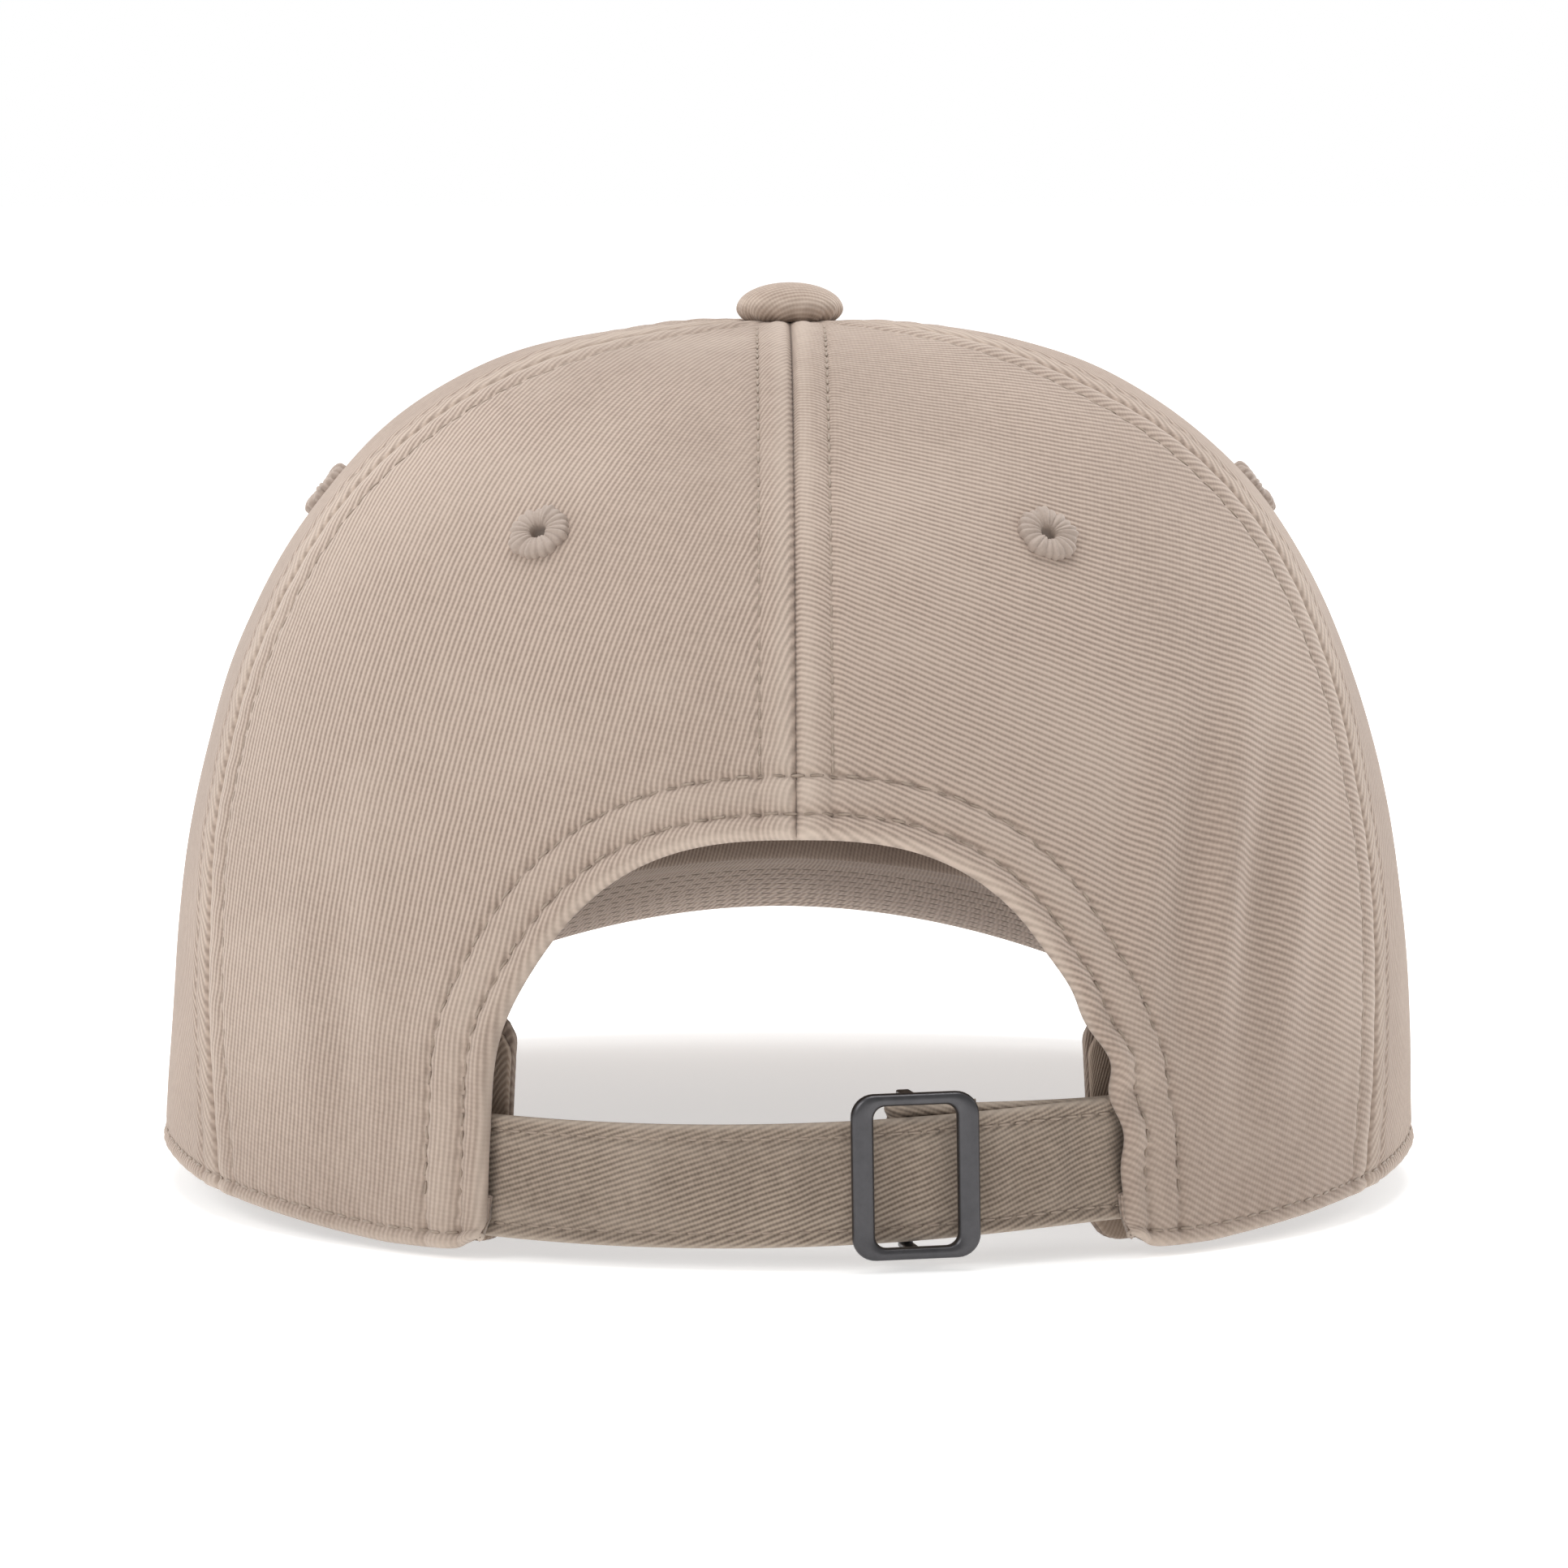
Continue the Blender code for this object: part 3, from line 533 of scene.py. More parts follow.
def gridPiece(name, columns, rows, place, wall=0.0, closed=False, holes=None):
    # place gives the points, cloth coordinates and wear of every corner of the grid.
    shape = bmesh.new()
    bmesh.ops.create_grid(shape, x_segments=columns, y_segments=rows, size=0.5)
    flat = np.array([vert.co[:2] for vert in shape.verts]) + 0.5
    u = np.rint(flat[:, 0] * columns).astype(int)
    v = np.rint(flat[:, 1] * rows).astype(int)
    points, weave, wear = place(columns, rows)
    points = points[v, u]
    weave = weave[v, u]
    wear = np.clip(wear[v, u], 0, 1)
    layer = shape.loops.layers.uv.new("cloth")
    worn = shape.verts.layers.float.new("wear")
    for vert, point, amount in zip(shape.verts, points, wear):
        vert.co = point
        vert[worn] = amount
    shape.verts.index_update()
    for face in shape.faces:
        for loop in face.loops:
            loop[layer].uv = weave[loop.vert.index]
    if holes is not None:
        cut = []
        for face in shape.faces:
            middle = face.calc_center_median()
            if min((middle - hole).length for hole in holes) < eyelet["cut"]:
                cut.append(face)
        bmesh.ops.delete(shape, geom=cut, context="FACES")
    if closed:
        bmesh.ops.remove_doubles(shape, verts=shape.verts, dist=2e-6)
        bmesh.ops.recalc_face_normals(shape, faces=shape.faces)
    made = toObject(name, shape)
    if wall:
        shell = made.modifiers.new("wall", "SOLIDIFY")
        shell.thickness = wall
        shell.offset = -1.0
    return made


def turnWeave(q, s, degrees):
    # Cloth coordinates whose ribs lie at this angle to the piece's own width.
    aside = math.sin(math.radians(degrees))
    ahead = math.cos(math.radians(degrees))
    return np.stack([q * aside - s * ahead, q * ahead + s * aside], -1)


def spacing(total, firstSteps, lastSteps, middle):
    # Distances from 0 to total: the given fine steps at both ends and even steps between.
    total = np.asarray(total, float)[..., None]
    need = firstSteps[-1] + lastSteps[-1] + 0.008
    squeeze = np.minimum(1, total / need)
    first = firstSteps * squeeze
    last = total - lastSteps[::-1] * squeeze
    gap = last[..., :1] - first[..., -1:]
    between = first[..., -1:] + gap * np.linspace(0, 1, middle + 1)[1:-1]
    return np.concatenate([first, between, last], -1)


# Where the panels' grid lines lie, closest at the seam, the hem's fold and the rows of stitches.
fineSteps = np.array([
    0, 0.3, 0.6, 0.9, 1.3, 1.8, 2.4, 3.0, 3.6, 4.2, 4.6, 4.9, 5.2, 5.5, 5.8, 6.3, 7.0, 8.0, 9.2,
]) * mm
turns = np.linspace(np.pi, 0, 7)
foldDistance = hem["foldRadius"] * (1 - np.sin(turns))
foldDepth = hem["foldRadius"] * (1 - np.cos(turns))
tuckIn = np.array([6.5, 3.5]) * mm + hem["foldRadius"]
edgeDistance = np.concatenate([tuckIn, foldDistance])
edgeDepth = np.concatenate([[2 * hem["foldRadius"]] * 2, foldDepth])
riseSteps = np.array([0.3, 0.6, 0.9, 1.1, 1.3, 1.5, 1.8, 2.2, 2.8, 3.6, 4.6, 6.0, 7.6]) * mm
riseSteps = hem["foldRadius"] + riseSteps
lipSteps = np.array([
    0.9, 1.2, 1.5, 1.8, 2.1, 2.5, 2.8, 3.0, 3.2, 3.4, 3.6, 4.0, 4.6,
    5.3, 6.0, 6.7, 7.2, 7.5, 7.7, 7.9, 8.1, 8.3, 8.7, 9.3, 10.2,
]) * mm
apexShare = 0.985

panels = dict(
    wall=0.0006, middleColumns=44, middleRows=170, rearColumns=58, rearRows=140, evenFrom=0.03,
    rubbedSeam=(0.30, 1.6, 1.5), rubbedHem=(0.5, 0.3, 0.9), rubbedLip=(0.45, 0.4, 0.9),
    rubbedRow=(0.15, 5.6, 1.6),
)
weaveAngles = dict(
    front_panel_left=105, front_panel_right=60, side_panel_left=128, side_panel_right=48,
    rear_panel_left=84, rear_panel_right=155,
)


def lengthAlong(points):
    return np.concatenate([[0], np.cumsum(np.linalg.norm(np.diff(points, axis=0), axis=1))])


def lineAt(line, lengths, where):
    return np.stack([np.interp(where, lengths, values) for values in line.T], -1)


def lipWarp(points):
    # How the lip leaves its smooth arch: turned in at the feet, wavy on the right, drawn out along the crown
    # where the strap pulls, and rounded at the corners.
    away = np.clip(archDistance(points) / mm, 0, lip["reach"])
    z = points[..., 2] / mm
    low = smoothed(np.clip(1 - z / lip["foot"], 0, 1))
    turned = swell(away, lip["turnIn"], 0, lip["turnReach"]) * low
    right = np.where(points[..., 0] < 0, 1.0, 0.0)
    wavy = swell(away, lip["wave"], 0, lip["waveReach"]) * bump(z, lip["waveAt"], lip["waveHeight"]) * right
    wavy = wavy * np.sin((z - lip["waveFrom"]) / lip["wavePitch"] * 2 * np.pi)
    corner = swell(away, lip["corner"], 0, lip["cornerSize"]) * bump(z, 0, lip["cornerSize"])
    pulled = lip["openRight"] * right * smoothed(np.clip((lip["openFrom"] - z) / lip["openOver"], 0, 1))
    pulled = pulled + (1 - right) * swell(z, lip["openLeft"], lip["leftAt"], lip["leftHeight"])
    pulled = pulled * bump(away, 0, lip["openReach"])
    sideways = wavy + lip["cornerAside"] * corner + lip["pullAside"] * pulled
    sideways = np.sign(points[..., 0]) * sideways
    inward = turned - lip["waveIn"] * wavy + lip["pullIn"] * pulled
    rear = (points[..., 1] > crownY) & (np.abs(points[..., 0]) > lip["clearOfMiddle"] * mm)
    rear = np.where(rear, mm, 0.0)
    return np.stack([sideways * rear, -inward * rear, corner * rear], -1)


def clothSurface(theta, share, depth=0.0):
    # Points of the crown's cloth and its outward normals, this deep under the face.
    theta, share = np.broadcast_arrays(np.asarray(theta, float), np.asarray(share, float))
    points = crownAt(theta, share)
    normals = crownNormal(theta, share)
    relief = clothRelief(theta, share, points) + clothNoise(points)
    shown = np.clip(1 - depth / hem["foldRadius"], 0, 1)
    return points + normals * (relief * mm * shown - depth)[..., None] + lipWarp(points), normals


def dressPanel(theta, share, depth, middle, angle):
    points, _ = clothSurface(theta, share, depth)
    q = (theta - middle) * np.maximum(radiusOf(points), 0.001)
    s = share * meridianLength(theta)
    away = nearestSeam(theta, share, radiusOf(points))
    edge = archDistance(points) / mm
    wear = swell(away, *panels["rubbedSeam"]) + swell(s / mm, *panels["rubbedHem"])
    wear = wear + swell(edge, *panels["rubbedLip"]) + swell(edge, *panels["rubbedRow"])
    return points, turnWeave(q, s, angle), wear


def plainPanel(name, side, first):
    def place(columns, rows):
        total = meridianLength(seamTheta(first, side, 0.5))
        steps = spacing(total * apexShare, riseSteps, fineSteps[:3], panels["middleRows"])
        distance = np.concatenate([edgeDistance, steps])
        depth = np.concatenate([edgeDepth, 0 * steps])[:, None]
        share = distance / total
        left = seamTheta(first, side, share)
        right = seamTheta(first + 1, side, share)
        if side < 0:
            left, right = right, left
        width = (right - left) * radiusOf(crownAt((left + right) / 2, share))
        across = spacing(width, fineSteps, fineSteps, panels["middleColumns"]) / width[:, None]
        theta = left[:, None] + (right - left)[:, None] * across
        grown = distance[:, None] / total * np.ones_like(theta)
        # rows keep their real distance from the hem, and higher up an even share of the seam
        upper = np.clip(distance[:, None] / panels["evenFrom"], 0, 1)
        exact = distance[:, None] / meridianLength(theta)
        middle = (left + right)[:, None] / 2
        return dressPanel(theta, exact * (1 - upper) + grown * upper, depth, middle, weaveAngles[name])

    columns = 2 * len(fineSteps) + panels["middleColumns"] - 2
    rows = len(edgeDistance) + len(riseSteps) + 3 + panels["middleRows"] - 2
    made = gridPiece(name + "_twill", columns, rows, place, panels["wall"], holes=eyeletPlaces)
    return finish(made, "cap", [name], cloth["panel"])


def alongLine(theta, share):
    # A border of the rear panel: where it is at each share of its length, and the length.
    lengths = lengthAlong(crownAt(theta, share))
    flat = np.stack([(1 - share) * np.sin(theta), (1 - share) * np.cos(theta)], -1)

    def at(part):
        return lineAt(flat, lengths, np.clip(part, 0, 1) * lengths[-1])

    return at, lengths[-1]


def rearPanel(name, side):
    def place(columns, rows):
        line = np.linspace(0, 1, 400)
        footTheta, footShare = backAngles(side * opening["halfWidth"], 0.0)
        footTheta = float(footTheta) if side > 0 else float(footTheta) - 2 * np.pi
        seamFoot = float(seamTheta(2, side, 0.0))
        hemLine, hemLength = alongLine(seamFoot + (footTheta - seamFoot) * line, 0 * line)
        sideLine, sideLength = alongLine(seamTheta(2, side, line), line)
        turn = 0.5 * line if side > 0 else 1 - 0.5 * line
        archTheta, archShare = backAngles(*archPoint(turn))
        if side < 0:
            archTheta = archTheta - 2 * np.pi
        archLine, archLength = alongLine(archTheta, archShare)
        topShare = float(archShare[-1])
        centreShares = 1 + (topShare - 1) * line
        centreLine, centreLength = alongLine(0 * line + side * np.pi, centreShares)

        widths = hemLength + (centreLength - hemLength) * np.linspace(0, 1, rows + 1)
        outer = spacing(widths, fineSteps, lipSteps, panels["rearColumns"])
        fold = widths[:, None] - edgeDistance[::-1][None, 1:]
        u = np.concatenate([outer, fold], 1) / widths[:, None]
        columnDepth = np.concatenate([np.zeros(outer.shape[1]), edgeDepth[::-1][1:]])
        heights = sideLength + (archLength - sideLength) * np.linspace(0, 1, columns + 1)
        fromFold = riseSteps - riseSteps[0] + edgeDistance[-1]
        rising = spacing(heights, fromFold, fineSteps, panels["rearRows"])
        fold = np.ones_like(heights)[:, None] * edgeDistance[:-1][None, :]
        v = (np.concatenate([fold, rising], 1) / heights[:, None]).T
        rowDepth = np.concatenate([edgeDepth[:-1], np.zeros(rising.shape[1])])
        a, b = hemLine(np.zeros(1))[0], hemLine(np.ones(1))[0]
        d, c = centreLine(np.zeros(1))[0], centreLine(np.ones(1))[0]

        def between(u):
            # Coons patch of the four borders, in polar coordinates round the top.
            uu, vv = u[..., None], v[..., None]
            flat = (1 - vv) * hemLine(u) + vv * centreLine(u) + (1 - uu) * sideLine(v) + uu * archLine(v)
            flat = flat - (1 - uu) * (1 - vv) * a - uu * (1 - vv) * b - (1 - uu) * vv * d - uu * vv * c
            share = 1 - np.hypot(flat[..., 0], flat[..., 1])
            theta = np.arctan2(flat[..., 0], flat[..., 1])
            return np.where(theta * side < 0, theta + side * 2 * np.pi, theta), share

        # shift the last columns until they lie at the lip's own distances from the edge
        lipColumns = np.arange(outer.shape[1] - len(lipSteps), outer.shape[1])
        foldColumns = np.arange(outer.shape[1], u.shape[1])
        wanted = np.concatenate([lipSteps[::-1], edgeDistance[::-1][1:]])
        for _ in range(2):
            away = archDistance(crownAt(*between(u)))
            known = slice(len(fineSteps) + 8, outer.shape[1])
            for row in range(rows + 1):
                gaps = np.concatenate([away[row, known], [0.0]])
                at = np.concatenate([u[row, known], [1.0]])
                u[row, np.concatenate([lipColumns, foldColumns])] = np.interp(-wanted, -gaps, at)
                low, high = len(fineSteps) - 1, lipColumns[0]
                u[row, low:high + 1] = np.linspace(u[row, low], u[row, high], high + 1 - low)
        theta, share = between(u)
        depth = np.maximum(columnDepth[None, :], rowDepth[:, None])
        middle = side * math.radians(150)
        dressed = dressPanel(theta, np.clip(share, 0, 0.9995), depth, middle, weaveAngles[name])
        return [each[:, ::side] for each in dressed]

    columns = len(fineSteps) + len(lipSteps) + panels["rearColumns"] + len(edgeDistance) - 3
    rows = len(riseSteps) + len(fineSteps) + panels["rearRows"] + len(edgeDistance) - 3
    made = gridPiece(name + "_twill", columns, rows, place, panels["wall"], holes=eyeletPlaces)
    return finish(made, "cap", [name], cloth["panel"])


# Eyelets: small stitched rings, one in each panel.
eyelet = dict(
    radius=0.0040, hole=0.0012, cut=0.0022, rise=0.0010, share=0.505, angles=(30, 88, 147), threads=21,
    strand=0.00034, strandRise=0.00026, lump=0.00022, lumpRise=0.00018, tuck=0.00012,
)
eyeletPlaces = []
for side in (1, -1):
    for angle in eyelet["angles"]:
        eyeletPlaces.append(Vector(crownPoint(side * math.radians(angle), eyelet["share"])))

for side, hand in ((1, "left"), (-1, "right")):
    plainPanel("front_panel_" + hand, side, 0)
    plainPanel("side_panel_" + hand, side, 1)
    rearPanel("rear_panel_" + hand, side)
print("crown panels done")


def pillow(name, middle, weave, outer, inner, wear=None, facing=None):
    # Cloth with two faces round a middle surface: outer and inner are heights in metres, 0 at the rim.
    rows, columns = middle.shape[0] - 1, middle.shape[1] - 1
    across = np.gradient(middle, axis=1)
    along = np.gradient(middle, axis=0)
    normals = unit(np.cross(across, along))
    towards = np.array(facing) if facing else middle - np.array([0, crownY, 0.04])
    if (normals * towards).sum() < 0:
        normals = -normals
    top = middle + normals * outer[..., None]
    low = middle - normals * inner[..., None]
    worn = np.zeros(outer.shape) if wear is None else wear

    def place(_, __):
        faces = ((top, low), (weave, weave), (worn, worn))
        return [np.concatenate([face, back[:, -2::-1]], 1) for face, back in faces]

    return gridPiece(name, 2 * columns, rows, place, closed=True)


def rimmed(total, rim, middle):
    # Distances across a piece, close together at its rounded rims, and the rim's thickness factor.
    edge = rim * (1 - np.cos(np.linspace(0, np.pi / 2, 5)))
    inside = np.linspace(rim, total - rim, middle + 1)[1:-1]
    distance = np.concatenate([edge, inside, (total - edge)[::-1]])
    near = np.clip(1 - np.minimum(distance, total - distance) / rim, 0, 1)
    return distance, np.sqrt(1 - near**2)


# Topstitching, in millimetres: each stitch is a short plump thread lying in its row's dent.
stitch = dict(length=2.05, width=0.44, height=0.38, pitch=2.45, sink=0.02, grip=0.4)


def addShape(shape, other):
    spare = bpy.data.meshes.new("spare")
    other.to_mesh(spare)
    other.free()
    shape.from_mesh(spare)
    bpy.data.meshes.remove(spare)


def addStitches(shape, points, normals, plump=1.0):
    lengths = lengthAlong(points)
    count = max(int(lengths[-1] / mm / stitch["pitch"]), 1)
    reach = stitch["grip"] * stitch["length"] * mm
    size = Vector((stitch["length"], plump * stitch["width"], plump * stitch["height"])) * mm / 2
    row = bmesh.new()
    for where in (np.arange(count) + 0.5) * lengths[-1] / count:
        ends = lineAt(points, lengths, np.array([where - reach, where + reach]))
        up = Vector(lineAt(normals, lengths, where)).normalized()
        forward = Vector(ends[1] - ends[0]).normalized()
        aside = up.cross(forward).normalized()
        up = forward.cross(aside)
        centre = Vector(lineAt(points, lengths, where)) + up * stitch["sink"] * mm
        turned = Matrix((forward, aside, up)).transposed().to_4x4()
        matrix = Matrix.Translation(centre) @ turned @ Matrix.Diagonal((*size, 1))
        bmesh.ops.create_uvsphere(row, u_segments=6, v_segments=4, radius=1.0, matrix=matrix)
    addShape(shape, row)


def crownRow(shape, theta, share):
    addStitches(shape, *clothSurface(theta, share))


def seamRow(shape, which, side, offset, first, last):
    share = np.linspace(first, last, 160)
    middle = seamTheta(which, side, share)
    radius = radiusOf(crownAt(middle, share))
    crownRow(shape, middle + offset * mm * narrowing(radius) / radius, share)


shape = bmesh.new()
hemShare = 0.022
topShare = 0.945
archTopShare = float(backAngles(0.0, opening["height"] + lip["secondRow"] * mm)[1])
for side in (1, -1):
    for offset in (-seam["stitchFrom"], seam["stitchFrom"]):
        seamRow(shape, 1, side, offset, hemShare, topShare)
        seamRow(shape, 2, side, offset, hemShare, topShare)
    seamRow(shape, 0, side, side * seam["stitchFrom"], hemShare, topShare)
    seamRow(shape, 3, side, -side * seam["stitchFrom"], archTopShare, topShare)
finish(toObject("seam_topstitching", shape), "cap", [], cloth["thread"])

shape = bmesh.new()
for outward in (lip["firstRow"], lip["secondRow"]):
    archTheta, archShare = backAngles(*archPoint(np.linspace(0.02, 0.98, 240), outward * mm))
    crownRow(shape, archTheta, archShare)
finish(toObject("opening_topstitching", shape), "cap", [], cloth["thread"])

shape = bmesh.new()
endTheta = float(backAngles(opening["halfWidth"] + lip["firstRow"] * mm, 0.0)[0])
hemTheta = np.linspace(-endTheta, endTheta, 700)
crownRow(shape, hemTheta, hem["row"] * mm / meridianLength(hemTheta))
finish(toObject("hem_topstitching", shape), "cap", [], cloth["thread"])
print("crown stitching done")


def revolved(name, origin, axis, profile, steps, ripple=None, sideways=None):
    # A turned piece: profile is the (radius, height) of each step round its section.
    radii, heights = np.array(profile, float).T
    up = Vector(axis).normalized()
    aside = (sideways or Vector((0, 0, 1))).cross(up).normalized()
    other = up.cross(aside)

    def place(columns, rows):
        turn = np.linspace(0, 2 * np.pi, columns + 1)[None, :]
        r, h = radii[:, None] + 0 * turn, heights[:, None] + 0 * turn
        if ripple:
            r, h = ripple(r, h, turn)
        ray = np.cos(turn)[..., None] * np.array(aside) + np.sin(turn)[..., None] * np.array(other)
        points = np.array(origin) + r[..., None] * ray + h[..., None] * np.array(up)
        reach = lengthAlong(np.stack([radii, heights], -1))[:, None]
        weave = turnWeave(reach * np.cos(turn), reach * np.sin(turn), 14)
        return points, weave, 0.3 * bump(r / radii.max(), 0.97, 0.06)

    return gridPiece(name, steps, len(profile) - 1, place, closed=True)


def eyeletProfile():
    # Half round ring of thread, then down through the hole and back under the rim.
    turn = np.linspace(0, np.pi, 13)
    middle, half = (eyelet["radius"] + eyelet["hole"]) / 2, (eyelet["radius"] - eyelet["hole"]) / 2
    ring = [(middle + half * math.cos(a), eyelet["rise"] * math.sin(a) ** 0.7) for a in turn]
    barrel = [(eyelet["hole"], -0.0016), (eyelet["hole"] + 0.0006, -0.0016)]
    return ring + barrel + [(eyelet["hole"] + 0.0008, -0.0004), (eyelet["radius"], -0.0003), ring[0]]


def threadRidges(r, h, turn):
    # Satin stitches run out from the hole, each one standing a little proud.
    strand = np.abs(np.sin(turn * eyelet["threads"] / 2 + 0.5 * np.sin(turn * 4))) ** 0.7
    outer = np.clip((r - eyelet["hole"]) / (eyelet["radius"] - eyelet["hole"]), 0, 1)
    lumps = 0.5 * np.sin(turn * 5 + 1.0) + 0.5 * np.sin(turn * 8 + 2.2)
    wider = eyelet["strand"] * strand * outer - eyelet["tuck"] + eyelet["lump"] * lumps * outer
    higher = eyelet["strandRise"] * strand + eyelet["lumpRise"] * lumps
    return r + wider, h + higher * (h > 0.1 * mm)


cloth["eyelet"] = sewingThread("eyelet_thread", "#ad9c90")
for side, hand in ((1, "left"), (-1, "right")):
    for label, angle in zip(("front", "side", "rear"), eyelet["angles"]):
        theta = side * math.radians(angle)
        share = float(shareOfT(theta, eyelet["share"]))
        spot, out = clothSurface(theta, share)
        name = f"eyelet_{label}_{hand}"
        made = revolved(name + "_ring", spot, out, eyeletProfile(), 136, threadRidges)
        finish(made, "cap", [name], cloth["eyelet"])

# Button: cloth gathered over a pressed shell.
button = dict(
    radius=0.0074, height=0.0054, pleats=15, pleat=0.00028, tuck=0.0001, pleatTop=0.6, foot=0.33, under=0.62,
)


def buttonPleats(r, h, turn):
    outer = np.clip(r / button["radius"], 0, 1)
    low = np.clip(1 - h / (button["pleatTop"] * button["height"]), 0, 1)
    fold = np.sin(turn * button["pleats"] + 1.3 * np.sin(3 * turn))
    return r + button["pleat"] * fold * low * outer - button["tuck"] * low, h


domeTurn = np.linspace(0, np.pi / 2, 26)
foot = button["height"] * button["foot"]
domeRise = foot + (button["height"] - foot) * np.cos(domeTurn)
domePart = list(zip(button["radius"] * np.sin(domeTurn), domeRise))
footTurn = np.linspace(0.15, 1, 8)
footPart = [(button["radius"] - 0.0013 * w**2, foot * (1 - w)) for w in footTurn]
underRadius = button["radius"] * button["under"]
underPart = [(underRadius, 0.0), (underRadius, 0.0007), (0.0045, 0.0022), (0.0, 0.0024)]
seat = Vector((0, crownY, buttonLow.z))
profile = domePart + footPart + underPart
made = revolved("button_cloth", seat, (0, 0, 1), profile, 120, buttonPleats, Vector((0, 1, 0)))
cloth["button"] = cottonTwill("button_twill", "#928073", "#c4b1a2", "#cfbfb1", 0.75)
finish(made, "cap", ["button_cover"], cloth["button"])
print("eyelets and button done")

# Inner tapes, facing and sweatband, each at its CAD depth under the crown's face.
inside = dict(
    tapeInset=0.00135, tape=0.0004, tapeWidth=0.012, facingWidth=0.0095, facingEdge=0.0004, facingGap=0.0009,
    rim=0.0003, crossBend=0.085,
)
band = dict(
    height=0.0315, layer=0.0007, gap=0.0003, shallow=0.00225, deep=0.00734, deepFrom=112.0, easing=22.0,
    overLeft=0.0026, overRight=0.0014, length=0.52, corner=0.0055, backingShort=0.002, crowding=0.0108,
    ripple=0.25, ripplePitch=0.013,
)


def under(theta, share, depth):
    return crownAt(theta, share) - crownNormal(theta, share) * np.asarray(depth)[..., None]


def tapePiece(node, middle, acrossAt, alongAt, factor):
    weave = turnWeave(*np.broadcast_arrays(acrossAt[None, :], alongAt[:, None]), 45)
    thick = inside["tape"] / 2 * factor
    quilt = thick + 0.00006 * factor * np.cos(alongAt / mm * 2.1)[:, None]
    made = pillow(node + "_cloth", middle, weave, thick, quilt, 0.25 * (1 - factor))
    return finish(made, "cap", [node], cloth["tape"])


def seamTape(node, which, side, first, last):
    across, a = rimmed(inside["tapeWidth"], inside["rim"], 12)
    along, b = rimmed(1.0, 0.004, 90)
    share = (first + (last - first) * along)[:, None]
    middle = seamTheta(which, side, share)
    radius = np.maximum(radiusOf(crownAt(middle, share)), 0.004)
    theta = middle + (across - inside["tapeWidth"] / 2)[None, :] / radius
    depth = inside["tapeInset"] + inside["tape"] / 2
    points = under(theta, share, depth + 0 * theta)
    tapePiece(node, points, across, along * 0.15, a[None, :] * b[:, None])


for side, hand in ((1, "left"), (-1, "right")):
    seamTape("front_seam_tape_" + hand, 1, side, 0.004, 0.90)
    seamTape("rear_seam_tape_" + hand, 2, side, 0.004, 0.90)

# The centre tape runs from the front hem over the top to the opening, under the crown's middle line.
across, a = rimmed(inside["tapeWidth"], inside["rim"], 12)
along, b = rimmed(1.0, 0.003, 150)
topEnd = float(backAngles(0.0, opening["height"] + inside["facingWidth"] + inside["facingGap"])[1])
walkFront = np.linspace(0.006, 0.992, 80)
walkBack = np.linspace(0.992, topEnd, 72)[1:]
centreLine = np.concatenate([crownAt(0 * walkFront, walkFront), crownAt(0 * walkBack + np.pi, walkBack)])
lengths = lengthAlong(centreLine)
where = along * lengths[-1]
centreLine = lineAt(centreLine, lengths, where)
slope = np.gradient(centreLine, axis=0)
normals = unit(np.stack([0 * slope[:, 0], -slope[:, 2], slope[:, 1]], -1))
centreLine = centreLine - normals * (inside["tapeInset"] + inside["tape"] / 2)
offset = across - inside["tapeWidth"] / 2
bend = offset**2 / 2 / inside["crossBend"]
middle = centreLine[:, None, :] + offset[None, :, None] * np.array([1.0, 0, 0])
middle = middle - normals[:, None, :] * bend[None, :, None]
tapePiece("centre_seam_tape", middle, across, where, a[None, :] * b[:, None])

across, a = rimmed(inside["facingWidth"], inside["rim"], 10)
along, b = rimmed(1.0, 0.004, 130)
x, z = archPoint(0.008 + 0.984 * along[:, None], inside["facingEdge"] + across[None, :])
theta, share = backAngles(x, np.maximum(z, 0.0003))
middle = under(theta, share, inside["tapeInset"] + inside["tape"] / 2 + 0 * theta)
middle = middle + lipWarp(crownAt(theta, share))
tapePiece("rear_opening_facing", middle, across, along * 0.15, a[None, :] * b[:, None])


def bandInset(theta):
    # The band lies deeper behind the rear seams, where the strap's ends pass between it and the panels.
    start = math.radians(band["deepFrom"] - band["easing"])
    rise = smoothed(np.clip((np.abs(theta) - start) / math.radians(band["easing"]), 0, 1))
    return band["shallow"] + (band["deep"] - band["shallow"]) * rise


def bandEnds():
    ends = []
    for extra in (band["overRight"], band["overLeft"]):
        x = opening["halfWidth"] - extra
        low, high = math.radians(100), math.pi
        for _ in range(40):
            middleTheta = (low + high) / 2
            spot = under(middleTheta, 0.02, bandInset(middleTheta))
            low, high = (middleTheta, high) if spot[0] > x else (low, middleTheta)
        ends.append(low)
    return -ends[0], ends[1]


